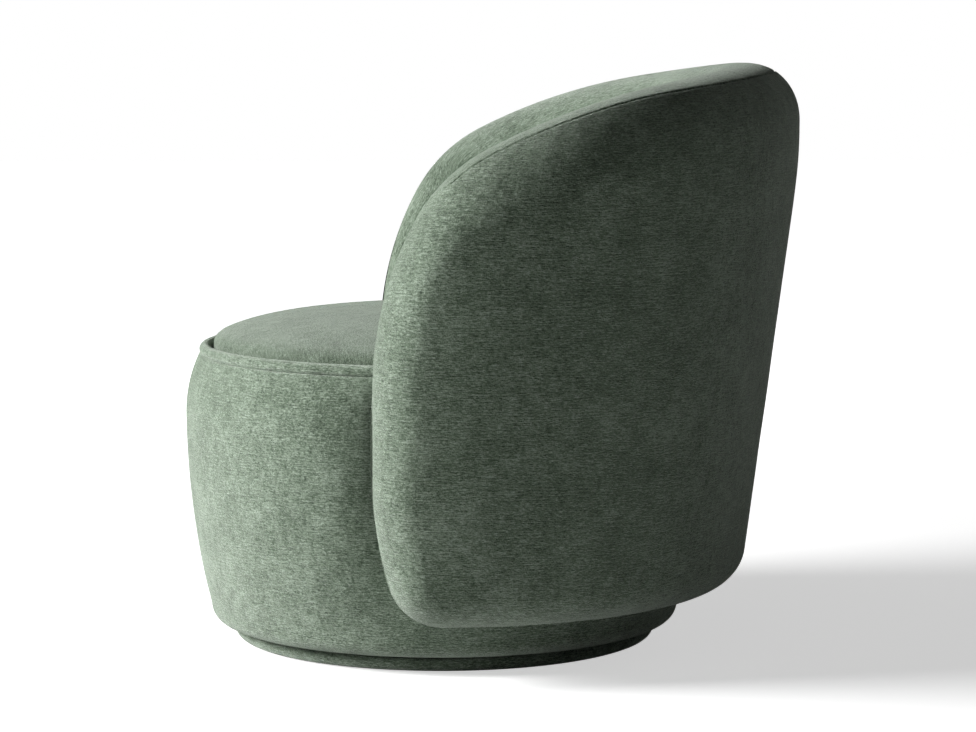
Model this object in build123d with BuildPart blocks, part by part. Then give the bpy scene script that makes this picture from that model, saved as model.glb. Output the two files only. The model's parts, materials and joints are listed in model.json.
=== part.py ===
"""Upholstered swivel tub chair: a drum seat on a recessed turning plinth, wrapped by a padded back.

Millimetres. +Z is up, the chair faces -Y and the sitter's left is +X.
The origin is on the swivel axis, at floor level.
"""
import os
from math import cos, exp, log, radians, sin, sqrt, tan

from build123d import *

# Clearances
clearance = 0.3          # between padded pieces and what they lie against
running_clearance = 0.06  # between a ball and its groove
screw_clearance = 0.1    # between a screw or bolt and its hole

# Plinth on the floor
plinth_r = 269.0
plinth_height = 18.0
plinth_wrap = 2.0        # cover folded over and under the plinth board
plinth_padding = 5.0     # cover and wadding round the plinth's edge
plinth_fold = 26.0       # how far the cover folds in from the edge
plinth_edge_round = 4.0
floor_pad_thickness = 2.5
floor_pad_width = 50.0
floor_pad_setback = 4.0  # from the fold of the cover in to the pad

# Swivel bearing between the plinth and the seat
swivel_gap = 4.0         # shadow gap under the drum
under_fold = 5.0         # drum cover folded under the seat's bottom board
ball_track_r = 148.0
ball_r = 3.0
ball_count = 24
race_width = 22.0
race_gap = 2.2           # between the two races
race_float = 1.5         # each race stops this far short of the other one's board
cage_thickness = 1.0
cage_rim = 1.1           # cage left above and below a ball
race_screw_count = 6
race_screw_r = 2.0
race_screw_head_r = 4.0
race_screw_bite = 10.0   # length of screw in the board
access_hole_r = 8.0      # driver access through the plinth board

# Seat drum
drum_belly_r = 343.0
drum_belly_z = 300.0
drum_foot_draw = 37.0    # how far the drum draws in from the belly to the foot
drum_foot_round = 28.0
drum_top_draw = 18.0     # how far it draws in from the belly to the top
drum_top = 378.0
drum_foot_padding = 18.0  # foam outside the liner at the foot
drum_fold = 12.0         # how far the drum cover folds in under the bottom board
liner_thickness = 4.0
board_thickness = 18.0
dust_cover_thickness = 1.2
dust_cover_margin = 4.0  # from the bearing out to the dust cover
front_post_count = 3
post_depth = 44.0
post_width = 50.0
deck_drop = 10.0         # top ring below the drum's top
ring_width = 69.0
frame_screw_r = 2.5
frame_screw_head_r = 5.0
frame_screw_bite = 35.0

# Seat suspension
strap_width = 50.0
strap_thickness = 2.0
strap_pitch = 90.0
strap_count = 5
strap_end_margin = 6.0   # from a strap's corner to the ring's edge
staple_crown = 12.0
staple_wire = 1.0
staple_leg = 8.0
staple_setback = 7.0     # from the strap's end to its staples
staple_spread = 24.0     # between the two staples of one strap end

# Seat cushion and its rolled edge
roll_r = 7.7
roll_sink = 1.2          # flat left where the roll sits on the drum
groove_width = 3.6       # dark groove between roll and cushion
cushion_height = 58.0
cushion_wall = 20.0      # wadding round the foam core
cushion_top_wall = 36.0
crown_r = 4500.0
crown_turn = 2.3
cushion_shoulder_r = 350.0
cushion_slope = 20.0     # degrees below level where the top runs out to the edge
cushion_edge_r = 20.0
cushion_tuck = 98.0      # direction in which the side runs under, degrees below level

# Back shell: round sections that lean back and widen upwards
back_bottom = 72.0
back_top = 762.0
back_bow = 0.42          # how far the lean bows out on its way up
foot_wall = 52.5         # shell outside the drum's belly, at the shell's foot
arm_wall = 120.0         # shell thickness at the rim
back_lean = 44.0         # rearward shift of the shell's section from foot to top
seat_side_overlap = 43.0  # arms reach in over the drum, at the deck
seat_space_flare = 10.0  # inner radius gained from the deck to the top
seat_space_shift = -30.0  # centre of the inner surface at the deck
seat_space_lean = 57.0   # rearward shift of the inner surface from the deck to the top
outer_rim_round = 60.0
inner_rim_round = 40.0

# Side view of the back shell
arm_front = 90.0         # arms' front edge ahead of the swivel axis
bow_r = 440.0
lower_bow_turn = 17.0
upper_bow_turn = 28.0
foot_corner_r = 70.0
shoulder_r = 215.0
shoulder_turn = 35.0
crest_r = 850.0
rim_slope = 10.5         # rise of the rim towards the back, degrees
crest_setback = 74.0     # highest line of the rim, ahead of the shell's rear

# Back frame inside the padding
outer_pad = 33.0         # outside padding, out to the seam along the rim
back_liner_thickness = 2.7
rib_count = 5
rib_spacing = 39.0       # degrees between ribs
rib_depth = 22.4
rib_width = 40.0
back_strap_thickness = 1.7
back_strap_width = 60.0
back_strap_pitch = 90.0
back_strap_count = 3
frame_inset = 34.0       # padding round the frame's edge
rail_height = 45.0
bottom_rail_top = 150.0
top_rail_foot = 500.0
middle_rail_z = 352.0
middle_rail_height = 24.0

# Bolts that hold the back to the drum
bolt_heights = [170.0, 290.0]
bolt_r = 4.0
bolt_head_r = 7.5
bolt_head_height = 5.0
washer_r = 11.0
washer_thickness = 2.0
nut_flange_r = 12.0
nut_flange_thickness = 1.6
nut_barrel_r = 5.4
nut_barrel_length = 9.0
nut_recess = 4.0         # depth of the nut's seat in the rib

# Heights and radii that follow
plinth_board_r = plinth_r - plinth_padding
plinth_board_foot = floor_pad_thickness
plinth_board_top = plinth_height - plinth_wrap
floor_pad_r = plinth_r - plinth_fold - floor_pad_setback
drum_bottom = plinth_height + swivel_gap
board_foot = drum_bottom + under_fold
board_top = board_foot + board_thickness
race_height = board_foot - plinth_board_top - race_float
lower_race_top = plinth_board_top + race_height
upper_race_foot = board_foot - race_height
ball_z = (lower_race_top + upper_race_foot) / 2
groove_r = ball_r + running_clearance
inner_race_r = ball_track_r - race_gap / 2
outer_race_r = ball_track_r + race_gap / 2
cage_height = 2 * (ball_r + screw_clearance + cage_rim)
inner_screw_pcr = inner_race_r - race_width / 2
outer_screw_pcr = outer_race_r + race_width / 2
drum_foot_r = drum_belly_r - drum_foot_draw
drum_top_r = drum_belly_r - drum_top_draw
liner_r = drum_foot_r - drum_foot_padding
board_r = liner_r - liner_thickness
ring_top = drum_top - deck_drop
ring_foot = ring_top - board_thickness
ring_inner_r = board_r - ring_width
post_centre_r = board_r - post_depth / 2
post_inner_r = board_r - post_depth
straps_top = ring_top + 2 * strap_thickness
roll_track_r = drum_top_r - roll_r
roll_z = drum_top + roll_r - roll_sink
cushion_r = roll_track_r - roll_r - groove_width
cushion_foot = drum_top + clearance
cushion_top = drum_top + cushion_height
core_r = cushion_r - cushion_wall
core_top = cushion_top - cushion_top_wall
back_foot_r = drum_belly_r + foot_wall
seat_space_deck_r = drum_belly_r - seat_side_overlap
seat_space_top_r = seat_space_deck_r + seat_space_flare
back_top_r = seat_space_top_r + arm_wall
back_reach = back_top_r + back_lean
liner_inset = outer_pad + clearance
rib_inset = liner_inset + back_liner_thickness + clearance
back_strap_inset = rib_inset + rib_depth + clearance
pocket_inset = back_strap_inset + back_strap_thickness + clearance
above_back = back_top + inner_rim_round
below_back = back_bottom - inner_rim_round
half_slab = 2 * back_reach

os.makedirs("parts", exist_ok=True)


def polar_place(distance, angle, z):
    """Place on a radial line from the swivel axis, with local Z pointing outwards."""
    direction = (cos(radians(angle)), sin(radians(angle)), 0)
    origin = (distance * direction[0], distance * direction[1], z)
    return Location(Plane(origin, x_dir=(0, 0, 1), z_dir=direction))


def spun(distance, angle, z, facing=1):
    """Upright place at an angle round the swivel axis, facing up or down."""
    direction = (cos(radians(angle)), sin(radians(angle)), 0)
    origin = (distance * direction[0], distance * direction[1], z)
    return Location(Plane(origin, x_dir=direction, z_dir=(0, 0, facing)))


def round_section(radius, centre_y, z):
    """Circle on a level plane, starting at its front."""
    with BuildSketch(Plane((0, centre_y, z), x_dir=(0, -1, 0), z_dir=(0, 0, 1))) as section:
        Circle(radius)
    return section.sketch


def drum_side(gap):
    """Outline of the drum from the axis, grown by gap, in the XZ plane."""
    belly = (drum_belly_r + gap, drum_belly_z)
    foot = (drum_foot_r + gap, drum_bottom - gap)
    rim = (drum_top_r + gap, drum_top + gap)
    with BuildSketch(Plane.XZ) as outline:
        with BuildLine():
            TangentArc(belly, foot, tangent=(0, -1))
            TangentArc(belly, rim, tangent=(0, 1))
            Polyline(rim, (0, rim[1]), (0, foot[1]), foot)
        make_face()
        fillet(outline.vertices().group_by(Axis.Y)[0].sort_by(Axis.X)[-1], drum_foot_round)
    return outline.sketch


def cushion_side(gap):
    """Crowned half outline of the seat cushion with its sides drawn in, grown by gap."""
    edge_sweep = cushion_tuck - cushion_slope
    with BuildSketch(Plane.XZ) as outline:
        with BuildLine():
            crown = JernArc((0, cushion_top + gap), (1, 0), crown_r, -crown_turn)
            fall = JernArc(crown @ 1, crown % 1, cushion_shoulder_r, crown_turn - cushion_slope)
            edge_reach = cushion_edge_r * (1 - sin(radians(cushion_slope)))
            run = cushion_r + gap - edge_reach - (fall @ 1).X
            slope_end = fall @ 1 + (fall % 1) * (run / (fall % 1).X)
            Line(fall @ 1, slope_end)
            edge = JernArc(slope_end, fall % 1, cushion_edge_r, -edge_sweep)
            tuck = edge @ 1 + (edge % 1) * (((edge @ 1).Y - cushion_foot) / -(edge % 1).Y)
            Polyline(edge @ 1, tuck, (0, cushion_foot), (0, cushion_top + gap))
        make_face()
    return outline.sketch


def roll_side(gap):
    """Section of the rolled edge, flat where it sits on the drum, grown by gap."""
    with BuildSketch(Plane.XZ) as outline:
        with Locations((roll_track_r, roll_z)):
            Circle(roll_r + gap)
        with Locations((roll_track_r, drum_top + clearance)):
            Rectangle(4 * roll_r, 4 * roll_r, align=(Align.CENTER, Align.MIN), mode=Mode.INTERSECT)
    return outline.sketch


def back_section(z):
    """Centre and radius of the shell's outer section: a bowed lean from foot to top."""
    climb = (z - back_bottom) / (back_top - back_bottom)
    share = climb + back_bow * climb * (1 - climb)
    return back_lean * share, back_foot_r + (back_top_r - back_foot_r) * share


def back_body(inset):
    """Solid inside the shell's outer surface, drawn in by inset."""
    with BuildPart() as body:
        for z in (below_back, (below_back + above_back) / 2, above_back):
            centre_y, radius = back_section(z)
            add(round_section(radius - inset, centre_y, z))
        loft()
    return body.part


def seat_space_section(z):
    """Section of the sitter's space at height z, leaning with the inside of the back."""
    share = (z - drum_top) / (back_top - drum_top)
    radius = seat_space_deck_r + seat_space_flare * share
    return round_section(radius, seat_space_shift + seat_space_lean * share, z)


def side_slab(inset):
    """Side view of the back shell, drawn in by inset, across the whole width."""
    bow = bow_r - inset
    corner = foot_corner_r - inset
    shoulder = shoulder_r - inset
    crest = crest_r - inset
    front = inset - arm_front
    lower_turn = radians(lower_bow_turn)
    upper_turn = radians(upper_bow_turn)
    slope = radians(rim_slope)
    bow_foot_z = back_bottom + inset + corner * (1 - sin(lower_turn)) + bow * sin(lower_turn)
    shoulder_end = radians(90 - upper_bow_turn - shoulder_turn)
    crest_sweep = 90 - upper_bow_turn - shoulder_turn - rim_slope
    run = bow * (1 - cos(upper_turn)) + shoulder * (cos(upper_turn) - sin(shoulder_end))
    run += crest * (sin(shoulder_end) - sin(slope))
    rise = bow * sin(upper_turn) + shoulder * (cos(shoulder_end) - sin(upper_turn))
    rise += crest * (cos(slope) - cos(shoulder_end))
    crest_y = back_reach - crest_setback + inset * sin(slope)
    crest_z = back_top - inset * cos(slope)
    rise += (crest_y - front - run) * tan(slope)
    behind = 2 * back_reach
    with BuildPart() as slab:
        with BuildSketch(Plane.YZ.offset(-half_slab)):
            with BuildLine():
                lower = JernArc((front, bow_foot_z), (0, -1), bow, lower_bow_turn)
                foot = JernArc(lower @ 1, lower % 1, corner, 90 - lower_bow_turn)
                Line((front, bow_foot_z), (front, crest_z - rise))
                upper = JernArc((front, crest_z - rise), (0, 1), bow, -upper_bow_turn)
                arm_top = JernArc(upper @ 1, upper % 1, shoulder, -shoulder_turn)
                rim = JernArc(arm_top @ 1, arm_top % 1, crest, -crest_sweep)
                Polyline(
                    rim @ 1,
                    (behind, crest_z + (behind - crest_y) * tan(slope)),
                    (behind, back_bottom + inset),
                    foot @ 1,
                )
            make_face()
        extrude(amount=2 * half_slab)
    return slab.part


def level_slab(foot, top):
    """Everything between two heights."""
    with BuildPart() as slab:
        with BuildSketch(Plane.XY.offset(foot)):
            Rectangle(2 * half_slab, 2 * half_slab)
        extrude(amount=top - foot)
    return slab.part


def rib_face(angle, z):
    """Distance from the swivel axis to the outer face of the ribs."""
    centre_y, radius = back_section(z)
    across = centre_y * cos(radians(angle))
    return centre_y * sin(radians(angle)) + sqrt((radius - rib_inset) ** 2 - across**2)


# Ribs fan out evenly from the middle of the back; drum posts stand behind them and round the front
first_rib = 90 - rib_spacing * (rib_count - 1) / 2
rib_angles = [first_rib + i * rib_spacing for i in range(rib_count)]
front_spacing = (360 - rib_spacing * (rib_count - 1)) / (front_post_count + 1)
front_angles = [rib_angles[-1] + (i + 1) * front_spacing for i in range(front_post_count)]
post_angles = rib_angles + front_angles
bolt_spots = [(angle, z) for angle in rib_angles for z in bolt_heights]
strap_offsets = [(i - (strap_count - 1) / 2) * strap_pitch for i in range(strap_count)]

# Floor pad: felt ring under the plinth, the face that the chair stands on
with BuildPart() as floor_pad:
    with BuildSketch():
        Circle(floor_pad_r)
        Circle(floor_pad_r - floor_pad_width, mode=Mode.SUBTRACT)
    extrude(amount=floor_pad_thickness)
floor_pad.part.label = "floor_pad"
export_step(floor_pad.part, "parts/floor_pad.step")

# Plinth board with pilot holes for the lower race and one access hole
with BuildPart() as plinth_board:
    with BuildSketch(Plane.XY.offset(plinth_board_foot)):
        Circle(plinth_board_r - clearance)
        with PolarLocations(outer_screw_pcr, 1):
            Circle(access_hole_r, mode=Mode.SUBTRACT)
    extrude(amount=plinth_board_top - plinth_board_foot)
    with BuildSketch(Plane.XY.offset(plinth_board_top)):
        with PolarLocations(inner_screw_pcr, race_screw_count):
            Circle(race_screw_r + screw_clearance)
    extrude(amount=-race_screw_bite - screw_clearance, mode=Mode.SUBTRACT)
plinth_board.part.label = "plinth_board"
export_step(plinth_board.part, "parts/plinth_board.step")

# Plinth cover: fabric band folded over and under the board's edge
with BuildPart() as plinth_cover:
    with BuildSketch(Plane.XZ) as plinth_band:
        with Locations((plinth_r, plinth_height)):
            Rectangle(
                plinth_fold,
                plinth_height - floor_pad_thickness + plinth_wrap,
                align=(Align.MAX, Align.MAX),
            )
        fillet(plinth_band.vertices().group_by(Axis.X)[-1], plinth_edge_round)
        with Locations((0, plinth_board_foot)):
            Rectangle(
                plinth_board_r,
                plinth_board_top - plinth_board_foot,
                align=(Align.MIN, Align.MIN),
                mode=Mode.SUBTRACT,
            )
    revolve(axis=Axis.Z)
plinth_cover.part.label = "plinth_cover"
export_step(plinth_cover.part, "parts/plinth_cover.step")


def race(inner_r, foot, heads):
    """Flat bearing race with a ball groove and sunk screw holes."""
    with BuildPart() as ring:
        with BuildSketch(Plane.XY.offset(foot)):
            Circle(inner_r + race_width)
            Circle(inner_r, mode=Mode.SUBTRACT)
        extrude(amount=race_height)
        with BuildSketch(Plane.XZ):
            with Locations((ball_track_r, ball_z)):
                Circle(groove_r)
        revolve(axis=Axis.Z, mode=Mode.SUBTRACT)
        with Locations(*heads):
            CounterSinkHole(race_screw_r + screw_clearance, race_screw_head_r + screw_clearance)
    return ring


def sunk_screws(heads, shank_r, head_r, length):
    """Countersunk screws with their heads flush at the given places, each its own solid."""
    with BuildPart() as screws:
        with Locations(*heads):
            Cone(shank_r, head_r, head_r - shank_r, align=(Align.CENTER, Align.CENTER, Align.MAX))
            Cylinder(shank_r, length, align=(Align.CENTER, Align.CENTER, Align.MAX))
    return screws


# Swivel bearing: the lower race is fixed to the plinth, the upper one to the seat
race_angles = [360 * i / race_screw_count for i in range(race_screw_count)]
lower_heads = [spun(inner_screw_pcr, angle, lower_race_top) for angle in race_angles]
upper_heads = [spun(outer_screw_pcr, angle, upper_race_foot, facing=-1) for angle in race_angles]
race_screw_length = race_height + race_screw_bite

lower_race = race(inner_race_r - race_width, plinth_board_top, lower_heads)
lower_race.part.label = "lower_race"
export_step(lower_race.part, "parts/lower_race.step")

lower_race_screws = sunk_screws(lower_heads, race_screw_r, race_screw_head_r, race_screw_length)
lower_race_screws.part.label = "lower_race_screws"
export_step(lower_race_screws.part, "parts/lower_race_screws.step")

upper_race = race(outer_race_r, upper_race_foot, upper_heads)
upper_race.part.label = "upper_race"
export_step(upper_race.part, "parts/upper_race.step")

upper_race_screws = sunk_screws(upper_heads, race_screw_r, race_screw_head_r, race_screw_length)
upper_race_screws.part.label = "upper_race_screws"
export_step(upper_race_screws.part, "parts/upper_race_screws.step")

with BuildPart() as bearing_balls:
    with Locations((0, 0, ball_z)):
        with PolarLocations(ball_track_r, ball_count):
            Sphere(ball_r)
bearing_balls.part.label = "bearing_balls"
export_step(bearing_balls.part, "parts/bearing_balls.step")

with BuildPart() as ball_cage:
    with BuildSketch(Plane.XY.offset(ball_z - cage_height / 2)):
        Circle(ball_track_r + cage_thickness / 2)
        Circle(ball_track_r - cage_thickness / 2, mode=Mode.SUBTRACT)
    extrude(amount=cage_height)
    with Locations(*[polar_place(ball_track_r, 360 * i / ball_count, ball_z) for i in range(ball_count)]):
        Cylinder(ball_r + screw_clearance, race_gap, mode=Mode.SUBTRACT)
ball_cage.part.label = "ball_cage"
export_step(ball_cage.part, "parts/ball_cage.step")

# Seat frame: bottom board, posts, top ring and the fibreboard liner bent round them
with BuildPart() as bottom_board:
    with BuildSketch(Plane.XY.offset(board_foot)):
        Circle(board_r)
    extrude(amount=board_thickness)
    with BuildSketch(Plane.XY.offset(board_foot)):
        with PolarLocations(outer_screw_pcr, race_screw_count):
            Circle(race_screw_r + screw_clearance)
    extrude(amount=race_screw_bite + screw_clearance, mode=Mode.SUBTRACT)
bottom_board.part.label = "bottom_board"
export_step(bottom_board.part, "parts/bottom_board.step")

with BuildPart() as dust_cover:
    with BuildSketch(Plane.XY.offset(board_foot - dust_cover_thickness)):
        Circle(liner_r - drum_fold - clearance)
        Circle(outer_race_r + race_width + dust_cover_margin, mode=Mode.SUBTRACT)
    extrude(amount=dust_cover_thickness)
dust_cover.part.label = "dust_cover"
export_step(dust_cover.part, "parts/dust_cover.step")

with BuildPart() as seat_posts:
    with BuildSketch(Plane.XY.offset(board_top)):
        with Locations(*[spun(post_centre_r, angle, 0) for angle in post_angles]):
            Rectangle(post_depth, post_width)
        Circle(board_r, mode=Mode.INTERSECT)
    extrude(amount=ring_foot - board_top)
    with Locations(*[spun(post_centre_r, angle, ring_foot) for angle in post_angles]):
        Hole(frame_screw_r + screw_clearance, frame_screw_bite + screw_clearance)
    with Locations(*[polar_place(0, angle, z) for angle, z in bolt_spots]):
        Cylinder(
            bolt_r + screw_clearance,
            drum_belly_r,
            align=(Align.CENTER, Align.CENTER, Align.MIN),
            mode=Mode.SUBTRACT,
        )
seat_posts.part.label = "seat_posts"
export_step(seat_posts.part, "parts/seat_posts.step")

ring_heads = [spun(post_centre_r, angle, ring_top) for angle in post_angles]
with BuildPart() as top_ring:
    with BuildSketch(Plane.XY.offset(ring_foot)):
        Circle(board_r)
        Circle(ring_inner_r, mode=Mode.SUBTRACT)
    extrude(amount=board_thickness)
    with Locations(*ring_heads):
        CounterSinkHole(frame_screw_r + screw_clearance, frame_screw_head_r + screw_clearance)
top_ring.part.label = "top_ring"
export_step(top_ring.part, "parts/top_ring.step")

ring_screws = sunk_screws(ring_heads, frame_screw_r, frame_screw_head_r, board_thickness + frame_screw_bite)
ring_screws.part.label = "ring_screws"
export_step(ring_screws.part, "parts/ring_screws.step")

with BuildPart() as drum_liner:
    with BuildSketch(Plane.XY.offset(board_foot)):
        Circle(liner_r)
        Circle(board_r, mode=Mode.SUBTRACT)
    extrude(amount=ring_top - board_foot)
    with Locations(*[polar_place(post_inner_r, angle, z) for angle, z in bolt_spots]):
        Cylinder(
            bolt_r + screw_clearance,
            drum_belly_r - post_inner_r,
            align=(Align.CENTER, Align.CENTER, Align.MIN),
            mode=Mode.SUBTRACT,
        )
drum_liner.part.label = "drum_liner"
export_step(drum_liner.part, "parts/drum_liner.step")


def strap_half_length(offset):
    """Half length of a strap whose corners stay inside the top ring's edge."""
    reach = board_r - strap_end_margin
    return sqrt(reach**2 - (abs(offset) + strap_width / 2) ** 2)


# Elastic straps: one layer across the seat, one from front to back on top of it
with BuildPart() as straps_across:
    for offset in strap_offsets:
        with BuildSketch(Plane((0, offset, ring_top))):
            Rectangle(2 * strap_half_length(offset), strap_width)
    extrude(amount=strap_thickness)
straps_across.part.label = "straps_across"
export_step(straps_across.part, "parts/straps_across.step")

with BuildPart() as straps_lengthwise:
    for offset in strap_offsets:
        with BuildSketch(Plane((offset, 0, ring_top + strap_thickness))):
            Rectangle(strap_width, 2 * strap_half_length(offset))
    extrude(amount=strap_thickness)
straps_lengthwise.part.label = "straps_lengthwise"
export_step(straps_lengthwise.part, "parts/straps_lengthwise.step")

# Staples driven flush into each strap end, crown across the strap
staple_places = []
for offset in strap_offsets:
    reach = strap_half_length(offset) - staple_setback
    for end in (-1, 1):
        for side in (-staple_spread / 2, staple_spread / 2):
            staple_places.append(Location((end * reach, offset + side, ring_top + strap_thickness)))
            staple_places.append(Location((offset + side, end * reach, straps_top), (0, 0, 90)))

with BuildPart() as strap_staples:
    with Locations(*staple_places):
        Box(staple_wire, staple_crown, staple_wire, align=(Align.CENTER, Align.CENTER, Align.MAX))
        with Locations((0, -staple_crown / 2, 0), (0, staple_crown / 2, 0)):
            Box(staple_wire, staple_wire, staple_leg, align=(Align.CENTER, Align.CENTER, Align.MAX))
strap_staples.part.label = "strap_staples"
export_step(strap_staples.part, "parts/strap_staples.step")

# Seat cushion: foam core on the straps, in a crowned cover
with BuildPart() as seat_core:
    with BuildSketch(Plane.XY.offset(straps_top)):
        Circle(core_r)
    extrude(amount=core_top - straps_top)
    fillet(seat_core.edges().group_by(Axis.Z)[-1], deck_drop)
seat_core.part.label = "seat_core"
export_step(seat_core.part, "parts/seat_core.step")

with BuildPart() as seat_cushion:
    add(cushion_side(0))
    revolve(axis=Axis.Z)
    with BuildSketch(Plane.XY.offset(cushion_foot)):
        Circle(core_r + clearance)
    extrude(amount=core_top + clearance - cushion_foot, mode=Mode.SUBTRACT)
seat_cushion.part.label = "seat_cushion"
export_step(seat_cushion.part, "parts/seat_cushion.step")

with BuildPart() as seat_roll:
    add(roll_side(0))
    revolve(axis=Axis.Z)
seat_roll.part.label = "seat_roll"
export_step(seat_roll.part, "parts/seat_roll.step")

with BuildPart() as drum_pad:
    add(drum_side(0))
    revolve(axis=Axis.Z)
    with BuildSketch(Plane.XY.offset(board_foot)):
        Circle(liner_r + clearance)
    extrude(amount=drum_top - board_foot, mode=Mode.SUBTRACT)
    with BuildSketch(Plane.XY.offset(drum_bottom)):
        Circle(liner_r - drum_fold)
    extrude(amount=under_fold, mode=Mode.SUBTRACT)
    with Locations(*[polar_place(post_inner_r, angle, z) for angle, z in bolt_spots]):
        Cylinder(
            bolt_r + clearance,
            drum_belly_r,
            align=(Align.CENTER, Align.CENTER, Align.MIN),
            mode=Mode.SUBTRACT,
        )
drum_pad.part.label = "drum_pad"
export_step(drum_pad.part, "parts/drum_pad.step")

# Back shell: the whole padded form, with the seat's own shape cut out of it
back_outside = back_body(0)
back_side = side_slab(0)
with BuildPart() as seat_space:
    add(seat_space_section(drum_bottom))
    add(seat_space_section(above_back))
    loft()
with BuildPart() as seat_form:
    add(drum_side(clearance))
    revolve(axis=Axis.Z)
    add(cushion_side(clearance))
    revolve(axis=Axis.Z)
    add(roll_side(clearance))
    revolve(axis=Axis.Z)

with BuildPart() as back_form:
    add(back_outside)
    add(seat_space.part, mode=Mode.SUBTRACT)
    add(back_side, mode=Mode.INTERSECT)
    outer_face = back_form.faces().sort_by(SortBy.AREA)[-1]
    fillet(outer_face.edges(), outer_rim_round)
    inner_face = back_form.faces().sort_by(SortBy.AREA)[-2]
    fillet(inner_face.edges(), inner_rim_round)
    add(seat_form.part, mode=Mode.SUBTRACT)

# The rim seam parts the outside padding from the inside padding
pad_split = back_body(outer_pad)
with BuildPart() as back_outer_pad:
    add(back_form.part)
    add(pad_split, mode=Mode.SUBTRACT)
back_outer_pad.part.label = "back_outer_pad"
export_step(back_outer_pad.part, "parts/back_outer_pad.step")

pocket_core = back_body(pocket_inset)
pocket_side = side_slab(frame_inset)
with BuildPart() as frame_pocket:
    add(pad_split)
    add(pocket_core, mode=Mode.SUBTRACT)
    add(pocket_side, mode=Mode.INTERSECT)

inside_split = back_body(outer_pad + clearance)
with BuildPart() as back_inner_pad:
    add(back_form.part)
    add(inside_split, mode=Mode.INTERSECT)
    add(frame_pocket.part, mode=Mode.SUBTRACT)
    with Locations(*[polar_place(post_inner_r, angle, z) for angle, z in bolt_spots]):
        Cylinder(
            bolt_r + clearance,
            drum_belly_r,
            align=(Align.CENTER, Align.CENTER, Align.MIN),
            mode=Mode.SUBTRACT,
        )
back_inner_pad.part.label = "back_inner_pad"
export_step(back_inner_pad.part, "parts/back_inner_pad.step")

# Back frame: rails and posts along the shell's edge, a middle rail and upright ribs
frame_side = side_slab(frame_inset + clearance)
field_side = side_slab(frame_inset + clearance + rail_height)
rib_outside = back_body(rib_inset)
rib_inside = back_body(rib_inset + rib_depth)
with BuildPart() as frame_wall:
    add(rib_outside)
    add(rib_inside, mode=Mode.SUBTRACT)
    add(frame_side, mode=Mode.INTERSECT)
with BuildPart() as frame_edge:
    add(frame_wall.part)
    add(field_side, mode=Mode.SUBTRACT)
with BuildPart() as frame_field:
    add(frame_wall.part)
    add(field_side, mode=Mode.INTERSECT)

below_posts = level_slab(0, bottom_rail_top)
beside_seat = level_slab(bottom_rail_top, top_rail_foot)
above_posts = level_slab(top_rail_foot, above_back)
middle_slab = level_slab(middle_rail_z, middle_rail_z + middle_rail_height)

with BuildPart() as back_bottom_rail:
    add(frame_edge.part)
    add(below_posts, mode=Mode.INTERSECT)
back_bottom_rail.part.label = "back_bottom_rail"
export_step(back_bottom_rail.part, "parts/back_bottom_rail.step")

with BuildPart() as back_top_rail:
    add(frame_edge.part)
    add(above_posts, mode=Mode.INTERSECT)
back_top_rail.part.label = "back_top_rail"
export_step(back_top_rail.part, "parts/back_top_rail.step")

with BuildPart() as arm_posts:
    add(frame_edge.part)
    add(beside_seat, mode=Mode.INTERSECT)
left_post, right_post = arm_posts.solids().sort_by(Axis.X, reverse=True)

with BuildPart() as arm_post_left:
    add(left_post)
arm_post_left.part.label = "arm_post_left"
export_step(arm_post_left.part, "parts/arm_post_left.step")

with BuildPart() as arm_post_right:
    add(right_post)
arm_post_right.part.label = "arm_post_right"
export_step(arm_post_right.part, "parts/arm_post_right.step")

with BuildPart() as back_middle_rail:
    add(frame_field.part)
    add(middle_slab, mode=Mode.INTERSECT)
back_middle_rail.part.label = "back_middle_rail"
export_step(back_middle_rail.part, "parts/back_middle_rail.step")

with BuildPart() as back_ribs:
    with BuildSketch(Plane.XY.offset(back_bottom)):
        for angle in rib_angles:
            with Locations(Location((0, 0, 0), (0, 0, angle))):
                Rectangle(2 * back_reach, rib_width, align=(Align.MIN, Align.CENTER))
    extrude(amount=above_back - back_bottom)
    add(frame_field.part, mode=Mode.INTERSECT)
    add(middle_slab, mode=Mode.SUBTRACT)
    for angle, z in bolt_spots:
        with Locations(polar_place(post_inner_r, angle, z)):
            Cylinder(
                bolt_r + clearance,
                rib_face(angle, z),
                align=(Align.CENTER, Align.CENTER, Align.MIN),
                mode=Mode.SUBTRACT,
            )
        with Locations(polar_place(rib_face(angle, z) - nut_recess, angle, z)):
            Cylinder(
                nut_flange_r + clearance,
                back_reach,
                align=(Align.CENTER, Align.CENTER, Align.MIN),
                mode=Mode.SUBTRACT,
            )
            Cylinder(
                nut_barrel_r + screw_clearance,
                nut_barrel_length + screw_clearance,
                align=(Align.CENTER, Align.CENTER, Align.MAX),
                mode=Mode.SUBTRACT,
            )
back_ribs.part.label = "back_ribs"
export_step(back_ribs.part, "parts/back_ribs.step")

# Fibreboard liner outside the ribs and elastic straps inside them
liner_outside = back_body(liner_inset)
liner_inside = back_body(liner_inset + back_liner_thickness)
with BuildPart() as back_liner:
    add(liner_outside)
    add(liner_inside, mode=Mode.SUBTRACT)
    add(frame_side, mode=Mode.INTERSECT)
back_liner.part.label = "back_liner"
export_step(back_liner.part, "parts/back_liner.step")

strap_outside = back_body(back_strap_inset)
strap_inside = back_body(back_strap_inset + back_strap_thickness)
with BuildPart() as back_straps:
    for i in range(back_strap_count):
        with BuildSketch(Plane.XY.offset(cushion_top + i * back_strap_pitch)):
            Rectangle(2 * half_slab, 2 * half_slab)
    extrude(amount=back_strap_width)
    add(strap_outside, mode=Mode.INTERSECT)
    add(strap_inside, mode=Mode.SUBTRACT)
    add(frame_side, mode=Mode.INTERSECT)
back_straps.part.label = "back_straps"
export_step(back_straps.part, "parts/back_straps.step")

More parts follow.
